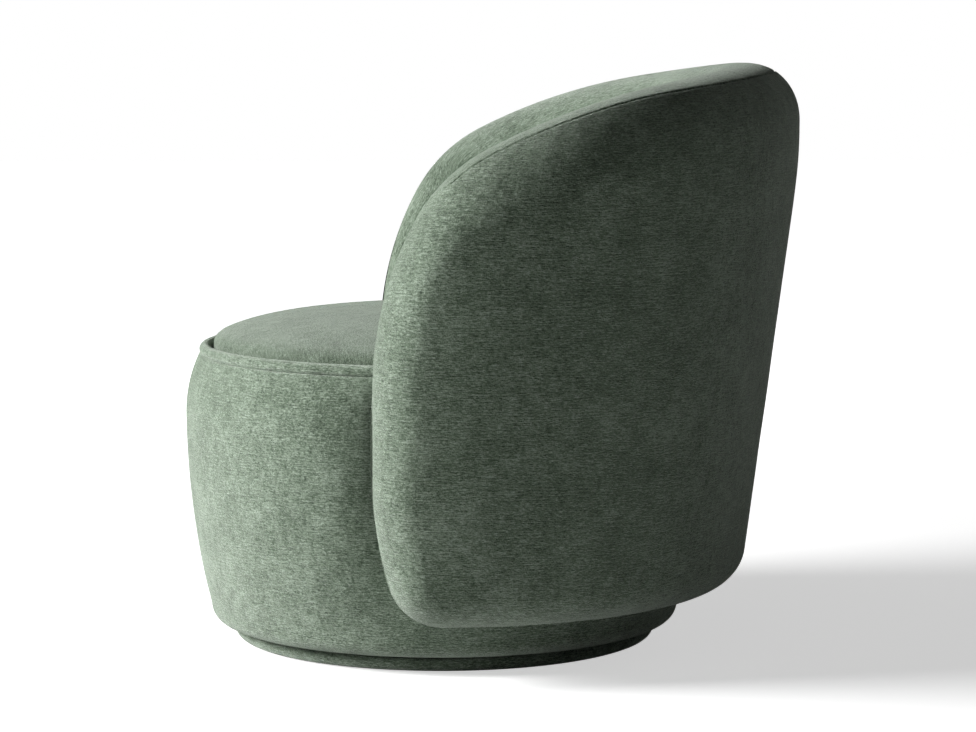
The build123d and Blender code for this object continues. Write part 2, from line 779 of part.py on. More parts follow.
# Bolts from the drum's posts into flanged nuts in the ribs
with BuildPart() as back_bolts:
    for angle, z in bolt_spots:
        seat = post_inner_r - washer_thickness
        tip = rib_face(angle, z) - nut_recess + nut_flange_thickness
        with Locations(polar_place(seat, angle, z)):
            Cylinder(bolt_head_r, bolt_head_height, align=(Align.CENTER, Align.CENTER, Align.MAX))
            Cylinder(bolt_r, tip - seat, align=(Align.CENTER, Align.CENTER, Align.MIN))
back_bolts.part.label = "back_bolts"
export_step(back_bolts.part, "parts/back_bolts.step")

with BuildPart() as bolt_washers:
    with Locations(*[polar_place(post_inner_r, angle, z) for angle, z in bolt_spots]):
        Cylinder(washer_r, washer_thickness, align=(Align.CENTER, Align.CENTER, Align.MAX))
        Cylinder(
            bolt_r + screw_clearance,
            washer_thickness,
            align=(Align.CENTER, Align.CENTER, Align.MAX),
            mode=Mode.SUBTRACT,
        )
bolt_washers.part.label = "bolt_washers"
export_step(bolt_washers.part, "parts/bolt_washers.step")

with BuildPart() as rib_nuts:
    for angle, z in bolt_spots:
        with Locations(polar_place(rib_face(angle, z) - nut_recess, angle, z)):
            Cylinder(nut_flange_r, nut_flange_thickness, align=(Align.CENTER, Align.CENTER, Align.MIN))
            Cylinder(nut_barrel_r, nut_barrel_length, align=(Align.CENTER, Align.CENTER, Align.MAX))
            Cylinder(bolt_r + screw_clearance, 4 * nut_barrel_length, mode=Mode.SUBTRACT)
rib_nuts.part.label = "rib_nuts"
export_step(rib_nuts.part, "parts/rib_nuts.step")
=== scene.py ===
# %% [markdown]
# # An upholstered swivel tub chair
# The frame holds the chair's real pieces: a plinth, a ball bearing, a plywood drum and a padded back.
# This file dresses them. Every padded piece is rebuilt here as soft fabric in the space that its plain
# solid holds, and every other piece gets the finish of its real material.

# %% Load the frame
import json
import math

import bmesh
import bpy
import numpy as np
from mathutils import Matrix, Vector, noise


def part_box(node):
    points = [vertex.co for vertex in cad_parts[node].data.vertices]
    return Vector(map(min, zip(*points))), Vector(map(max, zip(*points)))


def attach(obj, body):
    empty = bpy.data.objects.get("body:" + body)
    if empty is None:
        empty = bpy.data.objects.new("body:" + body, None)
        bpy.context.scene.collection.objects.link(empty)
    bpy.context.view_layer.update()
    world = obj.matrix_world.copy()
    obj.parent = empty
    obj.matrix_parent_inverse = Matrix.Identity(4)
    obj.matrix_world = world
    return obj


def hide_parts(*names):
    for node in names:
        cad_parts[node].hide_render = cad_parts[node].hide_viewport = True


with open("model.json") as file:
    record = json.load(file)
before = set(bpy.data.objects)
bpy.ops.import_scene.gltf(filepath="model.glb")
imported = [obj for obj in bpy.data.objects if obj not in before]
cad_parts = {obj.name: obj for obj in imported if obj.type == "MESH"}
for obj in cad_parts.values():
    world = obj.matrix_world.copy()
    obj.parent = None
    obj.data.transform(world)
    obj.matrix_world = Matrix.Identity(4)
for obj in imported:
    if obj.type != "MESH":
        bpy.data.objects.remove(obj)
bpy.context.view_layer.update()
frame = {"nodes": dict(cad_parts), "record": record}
scene = bpy.context.scene
scene.view_settings.view_transform = "Standard"

# %% [markdown]
# ## Camera
# The chair was photographed from its side with a long lens, a little above the rim and tilted down.
# A camera can be placed by eye, but here its lens and place follow from where the circles of plinth,
# drum and seat lie in the picture, so the render can be laid over the photograph.

# %% Side camera
PHOTO_WIDTH = 976
FOCAL_PX = 3168
SENSOR = 36.0
CAMERA_AT = Vector((4.2, -0.0219, 0.82))
TILT_DOWN = 0.1096
TURN_BACK = 0.0191

camera = bpy.data.objects.new("side_camera", bpy.data.cameras.new("side_camera"))
scene.collection.objects.link(camera)
camera.data.sensor_width = SENSOR
camera.data.lens = FOCAL_PX / PHOTO_WIDTH * SENSOR
aim = Vector((
    -math.cos(TILT_DOWN) * math.cos(TURN_BACK),
    math.cos(TILT_DOWN) * math.sin(TURN_BACK),
    -math.sin(TILT_DOWN),
))
camera.location = CAMERA_AT
camera.rotation_euler = aim.to_track_quat("-Z", "Y").to_euler()
scene.camera = camera
print("camera: lens", round(camera.data.lens, 1), "mm")

# %% [markdown]
# ## Helpers for materials
# Colours are written as they look on a screen and turned to the linear values that shaders use.
# Node trees could be drawn by hand in the editor. In a script one small function that adds a node,
# sets it up and links it keeps them short.


# %% Colour and node helpers
def colour(hex_code):
    """Linear RGBA of an sRGB hex colour."""
    channels = [int(hex_code[i:i + 2], 16) / 255 for i in (1, 3, 5)]
    linear = [c / 12.92 if c <= 0.04045 else ((c + 0.055) / 1.055) ** 2.4 for c in channels]
    return (*linear, 1.0)


def put(tree, kind, inputs=None, **settings):
    """Add a node, set its properties, and set or link its inputs."""
    made = tree.nodes.new(kind)
    for key, value in settings.items():
        setattr(made, key, value)
    for key, value in (inputs or {}).items():
        if isinstance(value, bpy.types.NodeSocket):
            tree.links.new(value, made.inputs[key])
        else:
            made.inputs[key].default_value = value
    return made


def new_material(name):
    """Empty material with its shader and output linked."""
    material = bpy.data.materials.new(name)
    material.use_nodes = True
    tree = material.node_tree
    tree.nodes.clear()
    shader = put(tree, "ShaderNodeBsdfPrincipled")
    put(tree, "ShaderNodeOutputMaterial", {"Surface": shader.outputs[0]})
    return material, tree, shader


def ramp(tree, factor, stops):
    """Colour ramp through (position, hex colour) stops."""
    stops = list(stops)
    made = put(tree, "ShaderNodeValToRGB", {"Fac": factor})
    while len(made.color_ramp.elements) < len(stops):
        made.color_ramp.elements.new(0.5)
    for element, (position, hex_code) in zip(made.color_ramp.elements, stops):
        element.position = position
        element.color = colour(hex_code)
    return made.outputs["Color"]


print("helpers ready")

# %% [markdown]
# ## Chenille velvet
# The cover is a chenille velvet: fuzzy yarns laid across, with slubs that catch the light as short level
# streaks, and a pile that leans this way and that, so that patches look lighter or darker. The fuzz
# also brightens the cloth where it turns away from the eye, which the shader's sheen gives.
# Hair could stand for the pile, but noise drawn out along the yarns shows the same at this distance.
# A UV map in metres, made with each piece, keeps the yarns running along the cloth.

# %% Chenille velvet material
YARN_MM, SLUB_MM = 0.95, 4.2               # spacing of the yarns, length of their slubs
WARP_MM, WARP_RUN_MM = 0.95, 2.2           # threads that cross the yarns
LONG_YARN_MM, LONG_SLUB_MM = 1.8, 26.0     # thicker yarns with long slubs
FLECK_MM, FLECK_RUN_MM = 1.9, 6.5          # tufts that catch the light
NAP_PATCH_MM, NAP_CLOUD_MM = 60.0, 16.0    # patches of pile that lean together
WARP_SHARE, LONG_SHARE = 0.3, 0.36
FLECK_SHARE, CLOUD_SHARE, NAP_SHARE = 0.35, 0.45, 0.25
PILE_RELIEF, THREAD_RELIEF = 0.0065, 0.0032    # deeper than real pile, so that it shows in the render
VELVET_SHADES = [(0.383, "#3b473a"), (0.49, "#667563"), (0.597, "#99a797")]
VELVET_FUZZ = "#e4ebe2"


def chenille_velvet():
    """Dull woven sage cloth with streaks, leaning pile and a pale bloom of fuzz at its edges."""
    material, tree, shader = new_material("chenille_velvet_sage")
    weave = put(tree, "ShaderNodeUVMap", uv_map="weave").outputs["UV"]
    place = put(tree, "ShaderNodeTexCoord").outputs["Object"]

    def yarn(across_mm, along_mm, detail):
        """Noise as wide and as long as a thread, laid along the weave."""
        scale = (1000 / along_mm, 1000 / across_mm, 1)
        laid = put(tree, "ShaderNodeMapping", {"Vector": weave, "Scale": scale})
        inputs = {"Vector": laid.outputs[0], "Scale": 1.0, "Detail": detail, "Roughness": 0.6}
        return put(tree, "ShaderNodeTexNoise", inputs, noise_dimensions="2D").outputs["Fac"]

    def cloud(size_mm, detail):
        """Soft patches of a size."""
        inputs = {"Vector": place, "Scale": 1000 / size_mm, "Detail": detail, "Roughness": 0.55}
        return put(tree, "ShaderNodeTexNoise", inputs).outputs["Fac"]

    def weigh(first, second, share):
        """Mix of two values, with a share of the second."""
        inputs = {0: share, 2: first, 3: second}
        return put(tree, "ShaderNodeMix", inputs).outputs[0]

    slubs = yarn(YARN_MM, SLUB_MM, 1.0)
    warp = yarn(WARP_RUN_MM, WARP_MM, 0.0)
    long_slubs = yarn(LONG_YARN_MM, LONG_SLUB_MM, 1.0)
    threads = weigh(weigh(slubs, warp, WARP_SHARE), long_slubs, LONG_SHARE)
    flecks = yarn(FLECK_MM, FLECK_RUN_MM, 3.0)
    nap = weigh(cloud(NAP_PATCH_MM, 3.0), cloud(NAP_CLOUD_MM, 4.0), CLOUD_SHARE)
    tone = weigh(weigh(threads, flecks, FLECK_SHARE), nap, NAP_SHARE)
    tree.links.new(ramp(tree, tone, VELVET_SHADES), shader.inputs["Base Color"])
    pile = put(tree, "ShaderNodeBump", {"Height": nap, "Distance": PILE_RELIEF, "Strength": 1.0})
    relief = {"Height": threads, "Distance": THREAD_RELIEF, "Strength": 1.0, "Normal": pile.outputs[0]}
    tree.links.new(put(tree, "ShaderNodeBump", relief).outputs[0], shader.inputs["Normal"])
    shader.inputs["Roughness"].default_value = 0.92
    shader.inputs["Specular IOR Level"].default_value = 0.05
    shader.inputs["Sheen Weight"].default_value = 0.8
    shader.inputs["Sheen Roughness"].default_value = 0.4
    shader.inputs["Sheen Tint"].default_value = colour(VELVET_FUZZ)
    return material


velvet = chenille_velvet()
print("material:", velvet.name)

# %% [markdown]
# ## Finishes of the hidden pieces
# Birch plywood, fibreboard, webbing, foam, felt and dust cloth are all plain workshop materials.
# They are seen only from below or when the chair is taken apart, so one kind of grain, in the size,
# colours and shine of each, is enough to tell them apart.

# %% Workshop materials
PLY_GRAIN_MM, PLY_STREAK = 3.0, 20.0     # width of the grain, and how many times longer it is
BOARD_FIBRE_MM = 1.5
WEBBING_RIB_MM = 2.0
FOAM_CELL_MM = 1.2
FELT_FIBRE_MM = 0.9                      # real fibres are finer and would not show
BRUSH_LINE_MM = 0.5                      # so are the marks of plating and turning
GRAIN_STOPS = (0.3, 0.7)


def grained(name, dark, light, size_mm, roughness, bump_mm, stretch=1.0, metallic=0.0):
    """Material with a noise grain in Object coordinates, drawn out along X by stretch."""
    material, tree, shader = new_material(name)
    place = put(tree, "ShaderNodeTexCoord").outputs["Object"]
    scale = (1000 / (size_mm * stretch), 1000 / size_mm, 1000 / size_mm)
    laid = put(tree, "ShaderNodeMapping", {"Vector": place, "Scale": scale})
    grain = put(tree, "ShaderNodeTexNoise", {"Vector": laid.outputs[0], "Scale": 1.0, "Detail": 4.0})
    shade = ramp(tree, grain.outputs["Fac"], zip(GRAIN_STOPS, (dark, light)))
    tree.links.new(shade, shader.inputs["Base Color"])
    relief = {"Height": grain.outputs["Fac"], "Distance": bump_mm / 1000, "Strength": 0.6}
    bump = put(tree, "ShaderNodeBump", relief)
    tree.links.new(bump.outputs[0], shader.inputs["Normal"])
    shader.inputs["Roughness"].default_value = roughness
    shader.inputs["Metallic"].default_value = metallic
    return material


# Name, dark and light colour, size of the grain, roughness, depth of the bump in mm, stretch, metallic
WORKSHOP = {
    # pale wood with long soft streaks
    "plywood": ("birch_plywood_raw", "#a98458", "#cfae7f", PLY_GRAIN_MM, 0.65, 0.1, PLY_STREAK),
    # an even, dull brown
    "fibreboard": ("fibreboard_bent", "#6d5135", "#8d6c4a", BOARD_FIBRE_MM, 0.8, 0.1),
    # dark and ribbed
    "webbing": ("elastic_webbing_woven", "#2b2622", "#4d463f", WEBBING_RIB_MM, 0.8, 0.3, 6.0),
    # cream, with open cells and no shine
    "foam": ("cut_foam", "#cdbf96", "#e6dcb9", FOAM_CELL_MM, 0.95, 0.4),
    # black and fully matt
    "felt": ("pressed_felt_black", "#17181a", "#2c2d2f", FELT_FIBRE_MM, 1.0, 0.3),
    # black, thin and nearly flat
    "cambric": ("spunbond_dust_cloth_black", "#141414", "#262626", FELT_FIBRE_MM, 0.9, 0.1, 3.0),
    # off-white with the half shine of moulding
    "cage_nylon": ("moulded_nylon_natural", "#cfcabc", "#dcd8cc", BOARD_FIBRE_MM, 0.45, 0.02),
    # bright grey metal with a soft reflection
    "zinc_steel": ("zinc_plated_steel", "#a9adb0", "#c9ccce", BRUSH_LINE_MM, 0.32, 0.02, 1.0, 1.0),
    # pale metal with fine turning lines
    "aluminium_race": ("turned_aluminium", "#b4b7ba", "#d2d4d6", BRUSH_LINE_MM, 0.35, 0.02, 20.0, 1.0),
}
finishes = {"chenille_velvet": velvet}
for slot, looks in WORKSHOP.items():
    finishes[slot] = grained(*looks)
for row in frame["record"]["subparts"]:
    node_object = frame["nodes"][row["node"]]
    node_object.data.materials.clear()
    node_object.data.materials.append(finishes[row["material_slot"]])
print("finishes:", ", ".join(sorted(finishes)))

# %% [markdown]
# ## Meshes from grids
# Each padded piece is drawn as one or more grids of points: rows follow the section, columns go round
# the chair. Sculpting could give the same forms, but a grid follows named sizes and knows how far its
# points lie apart, which gives a UV map in metres for the weave. Grids that share an edge are welded,
# so every piece ends up closed.

# %% Grids sewn together
WELD = 2e-6


def grid_faces(rows, columns, start):
    """Quads of a grid whose first point has the index start."""
    index = start + np.arange(rows * columns).reshape(rows, columns)
    corners = [index[:-1, :-1], index[:-1, 1:], index[1:, 1:], index[1:, :-1]]
    return np.stack(corners, -1).reshape(-1, 4)


def sew(name, grids):
    """Object made of (points, weave) grids, welded where they meet."""
    points = np.concatenate([p.reshape(-1, 3) for p, _ in grids])
    weave = np.concatenate([w.reshape(-1, 2) for _, w in grids])
    starts = np.cumsum([0] + [p.shape[0] * p.shape[1] for p, _ in grids])
    faces = np.concatenate([grid_faces(*p.shape[:2], s) for (p, _), s in zip(grids, starts)])
    mesh = bpy.data.meshes.new(name)
    mesh.from_pydata(points.tolist(), [], faces.tolist())
    layer = mesh.uv_layers.new(name="weave")
    layer.data.foreach_set("uv", weave[faces.ravel()].astype(np.float32).ravel())
    shape = bmesh.new()
    shape.from_mesh(mesh)
    bmesh.ops.remove_doubles(shape, verts=shape.verts, dist=WELD)
    bmesh.ops.dissolve_degenerate(shape, edges=shape.edges, dist=WELD)
    bmesh.ops.recalc_face_normals(shape, faces=shape.faces)
    for face in shape.faces:
        face.smooth = True
    shape.to_mesh(mesh)
    shape.free()
    mesh.materials.append(velvet)
    piece = bpy.data.objects.new(name, mesh)
    scene.collection.objects.link(piece)
    return piece


print("points closer than", WELD, "m are welded")

# %% Sections and ripples
SOFT_WAVE = 0.09
SEED_STEP = (7.1, 3.3, 1.7)    # each seed reads the noise at another place


def spread(start, end, count):
    """Evenly spaced values, both ends included."""
    return np.linspace(start, end, count)


def walked(points):
    """Length of the way along a row of points, from its start to each of them."""
    steps = np.linalg.norm(np.diff(points, axis=0), axis=1)
    return np.concatenate([[0], np.cumsum(steps)])


def ripple(points, size, seed):
    """Smooth random value from -1 to 1 at each point."""
    offset = Vector([seed * step for step in SEED_STEP])
    flat = points.reshape(-1, 3) / size
    values = [noise.noise(Vector(p) + offset) for p in flat]
    return np.array(values).reshape(points.shape[:-1])


def lathe(profile, columns, ripple_height=0.0, seed=1):
    """Grid of a section of (radius, height) points turned round the swivel axis, with its weave."""
    profile = np.asarray(profile)
    turn = spread(0, 2 * math.pi, columns + 1)
    radius, height = profile[:, :1], profile[:, 1:]
    points = np.stack([radius * np.cos(turn), radius * np.sin(turn), height + 0 * turn], -1)
    if ripple_height:
        swell = ripple(points, SOFT_WAVE, seed) * ripple_height
        swell[:, -1] = swell[:, 0]
        points[..., :2] *= (1 + swell / np.maximum(radius, 1e-6))[..., None]
    weave = np.stack(np.broadcast_arrays(turn * radius.max(), walked(profile)[:, None]), -1)
    return points, weave


def arc(start, end, bend_radius, count):
    """Points on the arc from start to end that bulges to the right of the way from start to end."""
    start, end = np.array(start), np.array(end)
    chord = end - start
    half = np.hypot(*chord) / 2
    right = np.array([chord[1], -chord[0]]) / (2 * half)
    centre = (start + end) / 2 - right * math.sqrt(max(bend_radius**2 - half**2, 0))
    first = math.atan2(*(start - centre)[::-1])
    sweep = 2 * math.asin(min(half / bend_radius, 1))
    angle = first + spread(0, sweep, count)
    return centre + bend_radius * np.stack([np.cos(angle), np.sin(angle)], -1)


def settle(piece, body, node):
    """Hide the plain solid that a padded piece stands for, and hang the piece on the body it rides on."""
    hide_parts(node)
    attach(piece, body)
    print(piece.name, "has", len(piece.data.polygons), "faces")


print("soft waves are", SOFT_WAVE, "m long")

# %% [markdown]
# ## Plinth cover
# The plinth is a low disc set back under the drum. Its cover is one band of the same cloth, wrapped over
# the edge of the board, so its corners are softly rounded. It is the same all round, so its section is
# drawn once, with an arc at each corner, and turned like a pot on a wheel.

# %% Plinth cover
PLINTH_LOW_ROUND, PLINTH_TOP_ROUND = 0.011, 0.006
PLINTH_SWELL = 0.011      # the band stands this far outside its plain solid
PLINTH_FOLD = 0.026       # how far the cloth reaches in over and under the board
PLINTH_PADDING = 0.005
WRAP = 0.002
CORNER_POINTS, PLINTH_COLUMNS = 7, 288
plinth_low, plinth_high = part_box("plinth_cover")
plinth_r = plinth_high.x + PLINTH_SWELL
fold_r = plinth_high.x - PLINTH_FOLD
board_r = plinth_high.x - PLINTH_PADDING
quarter = spread(0, math.pi / 2, CORNER_POINTS)
lower_corner = [(plinth_r - PLINTH_LOW_ROUND * (1 - math.sin(a)),
                 plinth_low.z + PLINTH_LOW_ROUND * (1 - math.cos(a))) for a in quarter]
upper_corner = [(plinth_r - PLINTH_TOP_ROUND * (1 - math.cos(a)),
                 plinth_high.z - PLINTH_TOP_ROUND * (1 - math.sin(a))) for a in quarter]
plinth_section = [(fold_r, plinth_low.z), *lower_corner, *upper_corner, (fold_r, plinth_high.z),
                  (fold_r, plinth_high.z - WRAP), (board_r, plinth_high.z - WRAP),
                  (board_r, plinth_low.z + WRAP), (fold_r, plinth_low.z + WRAP),
                  (fold_r, plinth_low.z)]
print("plinth from", round(plinth_low.z, 4), "to", round(plinth_high.z, 4), "m up")
plinth_band = sew("plinth_band", [lathe(plinth_section, PLINTH_COLUMNS)])
settle(plinth_band, "base", "plinth_cover")

# %% [markdown]
# ## Drum side
# The side of the drum bellies out a little above its middle, draws in to the seat and rounds under at
# the foot. The cloth is pulled tight over foam, so it only ripples very slightly, and more where the
# seam under the rolled edge gathers it. Beside the arms it is pulled in, which leaves a soft hollow.
# Turning a section gives the round form, and its points are then moved in and out for the rest.

# %% Section of the drum cover
drum_low, drum_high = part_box("drum_pad")
BELLY_R, BELLY_Z = drum_high.x, 0.300
FOOT_R, FOOT_ROUND, FOOT_TURN = 0.306, 0.023, 1.45     # the foot rounds by nearly a right angle
DRUM_TOP_R = 0.325
DRUM_INNER_R, DRUM_FOLD_R = 0.2885, 0.2762
FOLD_TOP = 0.0268
DRUM_RIPPLE = 0.0006
PUCKER_HEIGHT, PUCKER_REACH, PUCKER_LENGTH = 0.0007, 0.016, 0.021
PUCKER_DRAW = (1, 1, 0.4)      # puckers run down from the seam
PULL_DEPTH, PULL_WIDTH, PULL_Y = 0.020, 0.054, -0.064   # where the arms meet the drum
PULL_FADE_TOP, PULL_FADE_FOOT = 0.045, 0.200
LOW_POINTS, TOP_POINTS, FOOT_POINTS, DRUM_COLUMNS = 72, 30, 14, 360


def belly_radius(run, rise):
    """Radius of the arc that leaves the belly upright and ends run further in and rise away."""
    return (rise**2 + run**2) / (2 * run)


side_bend = belly_radius(BELLY_R - FOOT_R, BELLY_Z - drum_low.z)
top_bend = belly_radius(BELLY_R - DRUM_TOP_R, drum_high.z - BELLY_Z)
side_low = arc((FOOT_R, drum_low.z), (BELLY_R, BELLY_Z), side_bend, LOW_POINTS)
side_top = arc((BELLY_R, BELLY_Z), (DRUM_TOP_R, drum_high.z), top_bend, TOP_POINTS)
above_round = side_low[side_low[:, 1] > drum_low.z + FOOT_ROUND]
round_r = above_round[0][0]
round_centre = np.array([round_r - FOOT_ROUND, drum_low.z + FOOT_ROUND])
foot_arc = [round_centre + FOOT_ROUND * np.array([math.sin(a), -math.cos(a)])
            for a in spread(0, FOOT_TURN, FOOT_POINTS)]
drum_section = np.array([(DRUM_FOLD_R, drum_low.z), *foot_arc, *above_round, *side_top[1:],
                         (DRUM_INNER_R, drum_high.z), (DRUM_INNER_R, FOLD_TOP), (DRUM_FOLD_R, FOLD_TOP),
                         (DRUM_FOLD_R, drum_low.z)])
print("drum section:", len(drum_section), "points")

# %% Puckers and hollows of the drum cover
drum_points, drum_weave = lathe(drum_section, DRUM_COLUMNS, ripple_height=DRUM_RIPPLE, seed=2)
below_seam = np.clip(1 - (drum_high.z - drum_points[..., 2]) / PUCKER_REACH, 0, 1) ** 2
pucker = ripple(drum_points * PUCKER_DRAW, PUCKER_LENGTH, seed=5) * PUCKER_HEIGHT * below_seam
pucker[:, -1] = pucker[:, 0]
drum_points[..., :2] *= (1 + pucker / BELLY_R)[..., None]
drum_r = np.hypot(drum_points[..., 0], drum_points[..., 1])
pull = PULL_DEPTH * np.exp(-(((drum_points[..., 1] - PULL_Y) / PULL_WIDTH) ** 2))
pull *= np.clip((drum_high.z - drum_points[..., 2]) / PULL_FADE_TOP, 0, 1)
pull *= np.clip((drum_points[..., 2] - drum_low.z) / PULL_FADE_FOOT, 0, 1)
pull *= np.clip((drum_r - DRUM_INNER_R) / PULL_DEPTH, 0, 1)
drum_points[..., :2] *= (1 - pull / drum_r)[..., None]
drum_cover = sew("drum_cover", [(drum_points, drum_weave)])
settle(drum_cover, "seat", "drum_pad")

# %% [markdown]
# ## Rolled seat edge
# A roll of cloth runs round the top of the drum. A torus would be too even for it. It follows a circle,
# so Geometry Nodes sweep a small round section along it, and a little noise gathers it unevenly, as
# sewn rolls are. The section's own join is turned to the inside, where it doesn't show.


# %% Helpers for Geometry Nodes
def new_tree(name, inputs):
    """Geometry Nodes tree with one output and named inputs of the given kinds, and its input sockets."""
    tree = bpy.data.node_groups.new(name, "GeometryNodeTree")
    tree.interface.new_socket("Geometry", in_out="OUTPUT", socket_type="NodeSocketGeometry")
    for label, kind in inputs.items():
        tree.interface.new_socket(label, in_out="INPUT", socket_type="NodeSocket" + kind)
    return tree, put(tree, "NodeGroupInput").outputs


def end_tree(tree, geometry, material):
    """Make instances real, give them their material and hand them out."""
    real = put(tree, "GeometryNodeRealizeInstances", {"Geometry": geometry})
    dressed = put(tree, "GeometryNodeSetMaterial", {"Geometry": real.outputs[0], "Material": material})
    put(tree, "NodeGroupOutput", {"Geometry": dressed.outputs[0]})
    print("tree:", tree.name, "with", len(tree.nodes), "nodes")
    return tree


def grow(name, tree, values):
    """Plain mesh object from a Geometry Nodes tree with the given named inputs."""
    piece = bpy.data.objects.new(name, bpy.data.meshes.new(name))
    scene.collection.objects.link(piece)
    modifier = piece.modifiers.new("grow", "NODES")
    modifier.node_group = tree
    for item in tree.interface.items_tree:
        if item.in_out == "INPUT" and item.name in values:
            modifier[item.identifier] = values[item.name]
    graph = bpy.context.evaluated_depsgraph_get()
    piece.data = bpy.data.meshes.new_from_object(piece.evaluated_get(graph))
    piece.modifiers.clear()
    return piece


print("tree helpers ready")

# %% Rolled edge by Geometry Nodes
ROLL_R = 0.0077
ROLL_GATHER, GATHERS_PER_METRE = 0.0012, 90.0
ROLL_STEPS, ROLL_SIDES = 420, 20


def roll_tree():
    """Geometry Nodes tree that sweeps a round section along a circle and gathers it."""
    tree, given = new_tree("rolled_edge", {
        "Track radius": "Float",
        "Roll radius": "Float",
        "Height": "Float",
        "Gather": "Float",
        "Cloth": "Material",
    })
    track = put(tree, "GeometryNodeCurvePrimitiveCircle",
                {"Resolution": ROLL_STEPS, "Radius": given["Track radius"]})
    section = put(tree, "GeometryNodeCurvePrimitiveCircle",
                  {"Resolution": ROLL_SIDES, "Radius": given["Roll radius"]})
    join_inside = put(tree, "GeometryNodeTransform",
                      {"Geometry": section.outputs["Curve"], "Rotation": (0, 0, math.pi)})
    lengths = []
    curves = []
    for curve in (track, join_inside):
        measure = put(tree, "GeometryNodeSplineParameter")
        keep = put(tree, "GeometryNodeCaptureAttribute", {"Geometry": curve.outputs[0]})
        keep.capture_items.new("FLOAT", "Length")
        tree.links.new(measure.outputs["Length"], keep.inputs["Length"])
        lengths.append(keep.outputs["Length"])
        curves.append(keep.outputs["Geometry"])
    swept = put(tree, "GeometryNodeCurveToMesh", {"Curve": curves[0], "Profile Curve": curves[1]})
    weave = put(tree, "ShaderNodeCombineXYZ", {"X": lengths[0], "Y": lengths[1]})
    named = put(tree, "GeometryNodeStoreNamedAttribute",
                {"Geometry": swept.outputs[0], "Name": "weave", "Value": weave.outputs[0]},
                data_type="FLOAT2", domain="CORNER")
    bumps = put(tree, "ShaderNodeTexNoise", {"Scale": GATHERS_PER_METRE, "Detail": 1.0})
    centred = put(tree, "ShaderNodeMath", {0: bumps.outputs["Fac"], 1: 0.5}, operation="SUBTRACT")
    amount = put(tree, "ShaderNodeMath", {0: centred.outputs[0], 1: given["Gather"]}, operation="MULTIPLY")
    normal = put(tree, "GeometryNodeInputNormal")
    out = put(tree, "ShaderNodeVectorMath",
              {0: normal.outputs[0], "Scale": amount.outputs[0]}, operation="SCALE")
    rise = put(tree, "ShaderNodeCombineXYZ", {"Z": given["Height"]})
    shift = put(tree, "ShaderNodeVectorMath", {0: out.outputs[0], 1: rise.outputs[0]}, operation="ADD")
    moved = put(tree, "GeometryNodeSetPosition", {"Geometry": named.outputs[0], "Offset": shift.outputs[0]})
    smooth = put(tree, "GeometryNodeSetShadeSmooth", {"Geometry": moved.outputs[0]})
    return end_tree(tree, smooth.outputs[0], given["Cloth"])


_, roll_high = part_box("seat_roll")
seat_edge = grow("seat_edge_roll", roll_tree(), {
    "Track radius": roll_high.x - ROLL_R,
    "Roll radius": ROLL_R,
    "Height": roll_high.z - ROLL_R,
    "Gather": ROLL_GATHER,
    "Cloth": velvet,
})
settle(seat_edge, "seat", "seat_roll")

# %% [markdown]
# ## Seat top
# The seat is a round cushion with a flat crown that falls away to a soft edge tucked inside the roll.
# It starts as a slightly flatter form on a square-to-round grid, which has no pole in the middle, and
# a short cloth simulation blows it up from inside, with its tucked edge held, as foam fills a cover.

# %% Section of the seat top
seat_low, seat_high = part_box("seat_cushion")
CROWN_R, CROWN_TURN = 4.5, math.radians(2.3)
SEAT_SHOULDER_R, SEAT_SLOPE = 0.350, math.radians(20)
SEAT_EDGE_R, SEAT_TUCK = 0.020, math.radians(98)
CROWN_POINTS, SHOULDER_POINTS, EDGE_POINTS = 20, 12, 24
seat_r = seat_high.x


def seat_section():
    """Half section of the seat's top, from its middle out to the tucked edge, as (radius, height)."""
    crown = [(CROWN_R * math.sin(a), CROWN_R * (math.cos(a) - 1))
             for a in spread(0, CROWN_TURN, CROWN_POINTS)]
    last = crown[-1]
    shoulder = [(last[0] + SEAT_SHOULDER_R * (math.sin(a) - math.sin(CROWN_TURN)),
                 last[1] - SEAT_SHOULDER_R * (math.cos(CROWN_TURN) - math.cos(a)))
                for a in spread(CROWN_TURN, SEAT_SLOPE, SHOULDER_POINTS)]
    last = shoulder[-1]
    slope_run = seat_r - SEAT_EDGE_R * (1 - math.sin(SEAT_SLOPE)) - last[0]
    slope_end = (last[0] + slope_run, last[1] - slope_run * math.tan(SEAT_SLOPE))
    edge = [(slope_end[0] + SEAT_EDGE_R * (math.sin(a) - math.sin(SEAT_SLOPE)),
             slope_end[1] - SEAT_EDGE_R * (math.cos(SEAT_SLOPE) - math.cos(a)))
            for a in spread(SEAT_SLOPE, SEAT_TUCK, EDGE_POINTS)]
    section = np.array([*crown, *shoulder[1:], *edge])
    section[:, 1] += seat_high.z
    return section


top_section = seat_section()
print("seat section:", len(top_section), "points, edge at", round(float(top_section[-1, 1]), 4), "m up")

# %% Seat top form
DISC = 113                # points along each side of the square grid
FOOT_RINGS = 9
CROWN_SINK = 0.0030       # the simulation lifts the middle by about this much
SEAT_SQUEEZE = 2.4        # slubs on the seat look this much shorter, as sitting breaks them up


def square_to_disc(count):
    """Places on the unit disc of the points of a square grid."""
    a, b = np.meshgrid(spread(-1, 1, count), spread(-1, 1, count), indexing="ij")
    x = a * np.sqrt(1 - b * b / 2)
    y = b * np.sqrt(1 - a * a / 2)
    return x, y


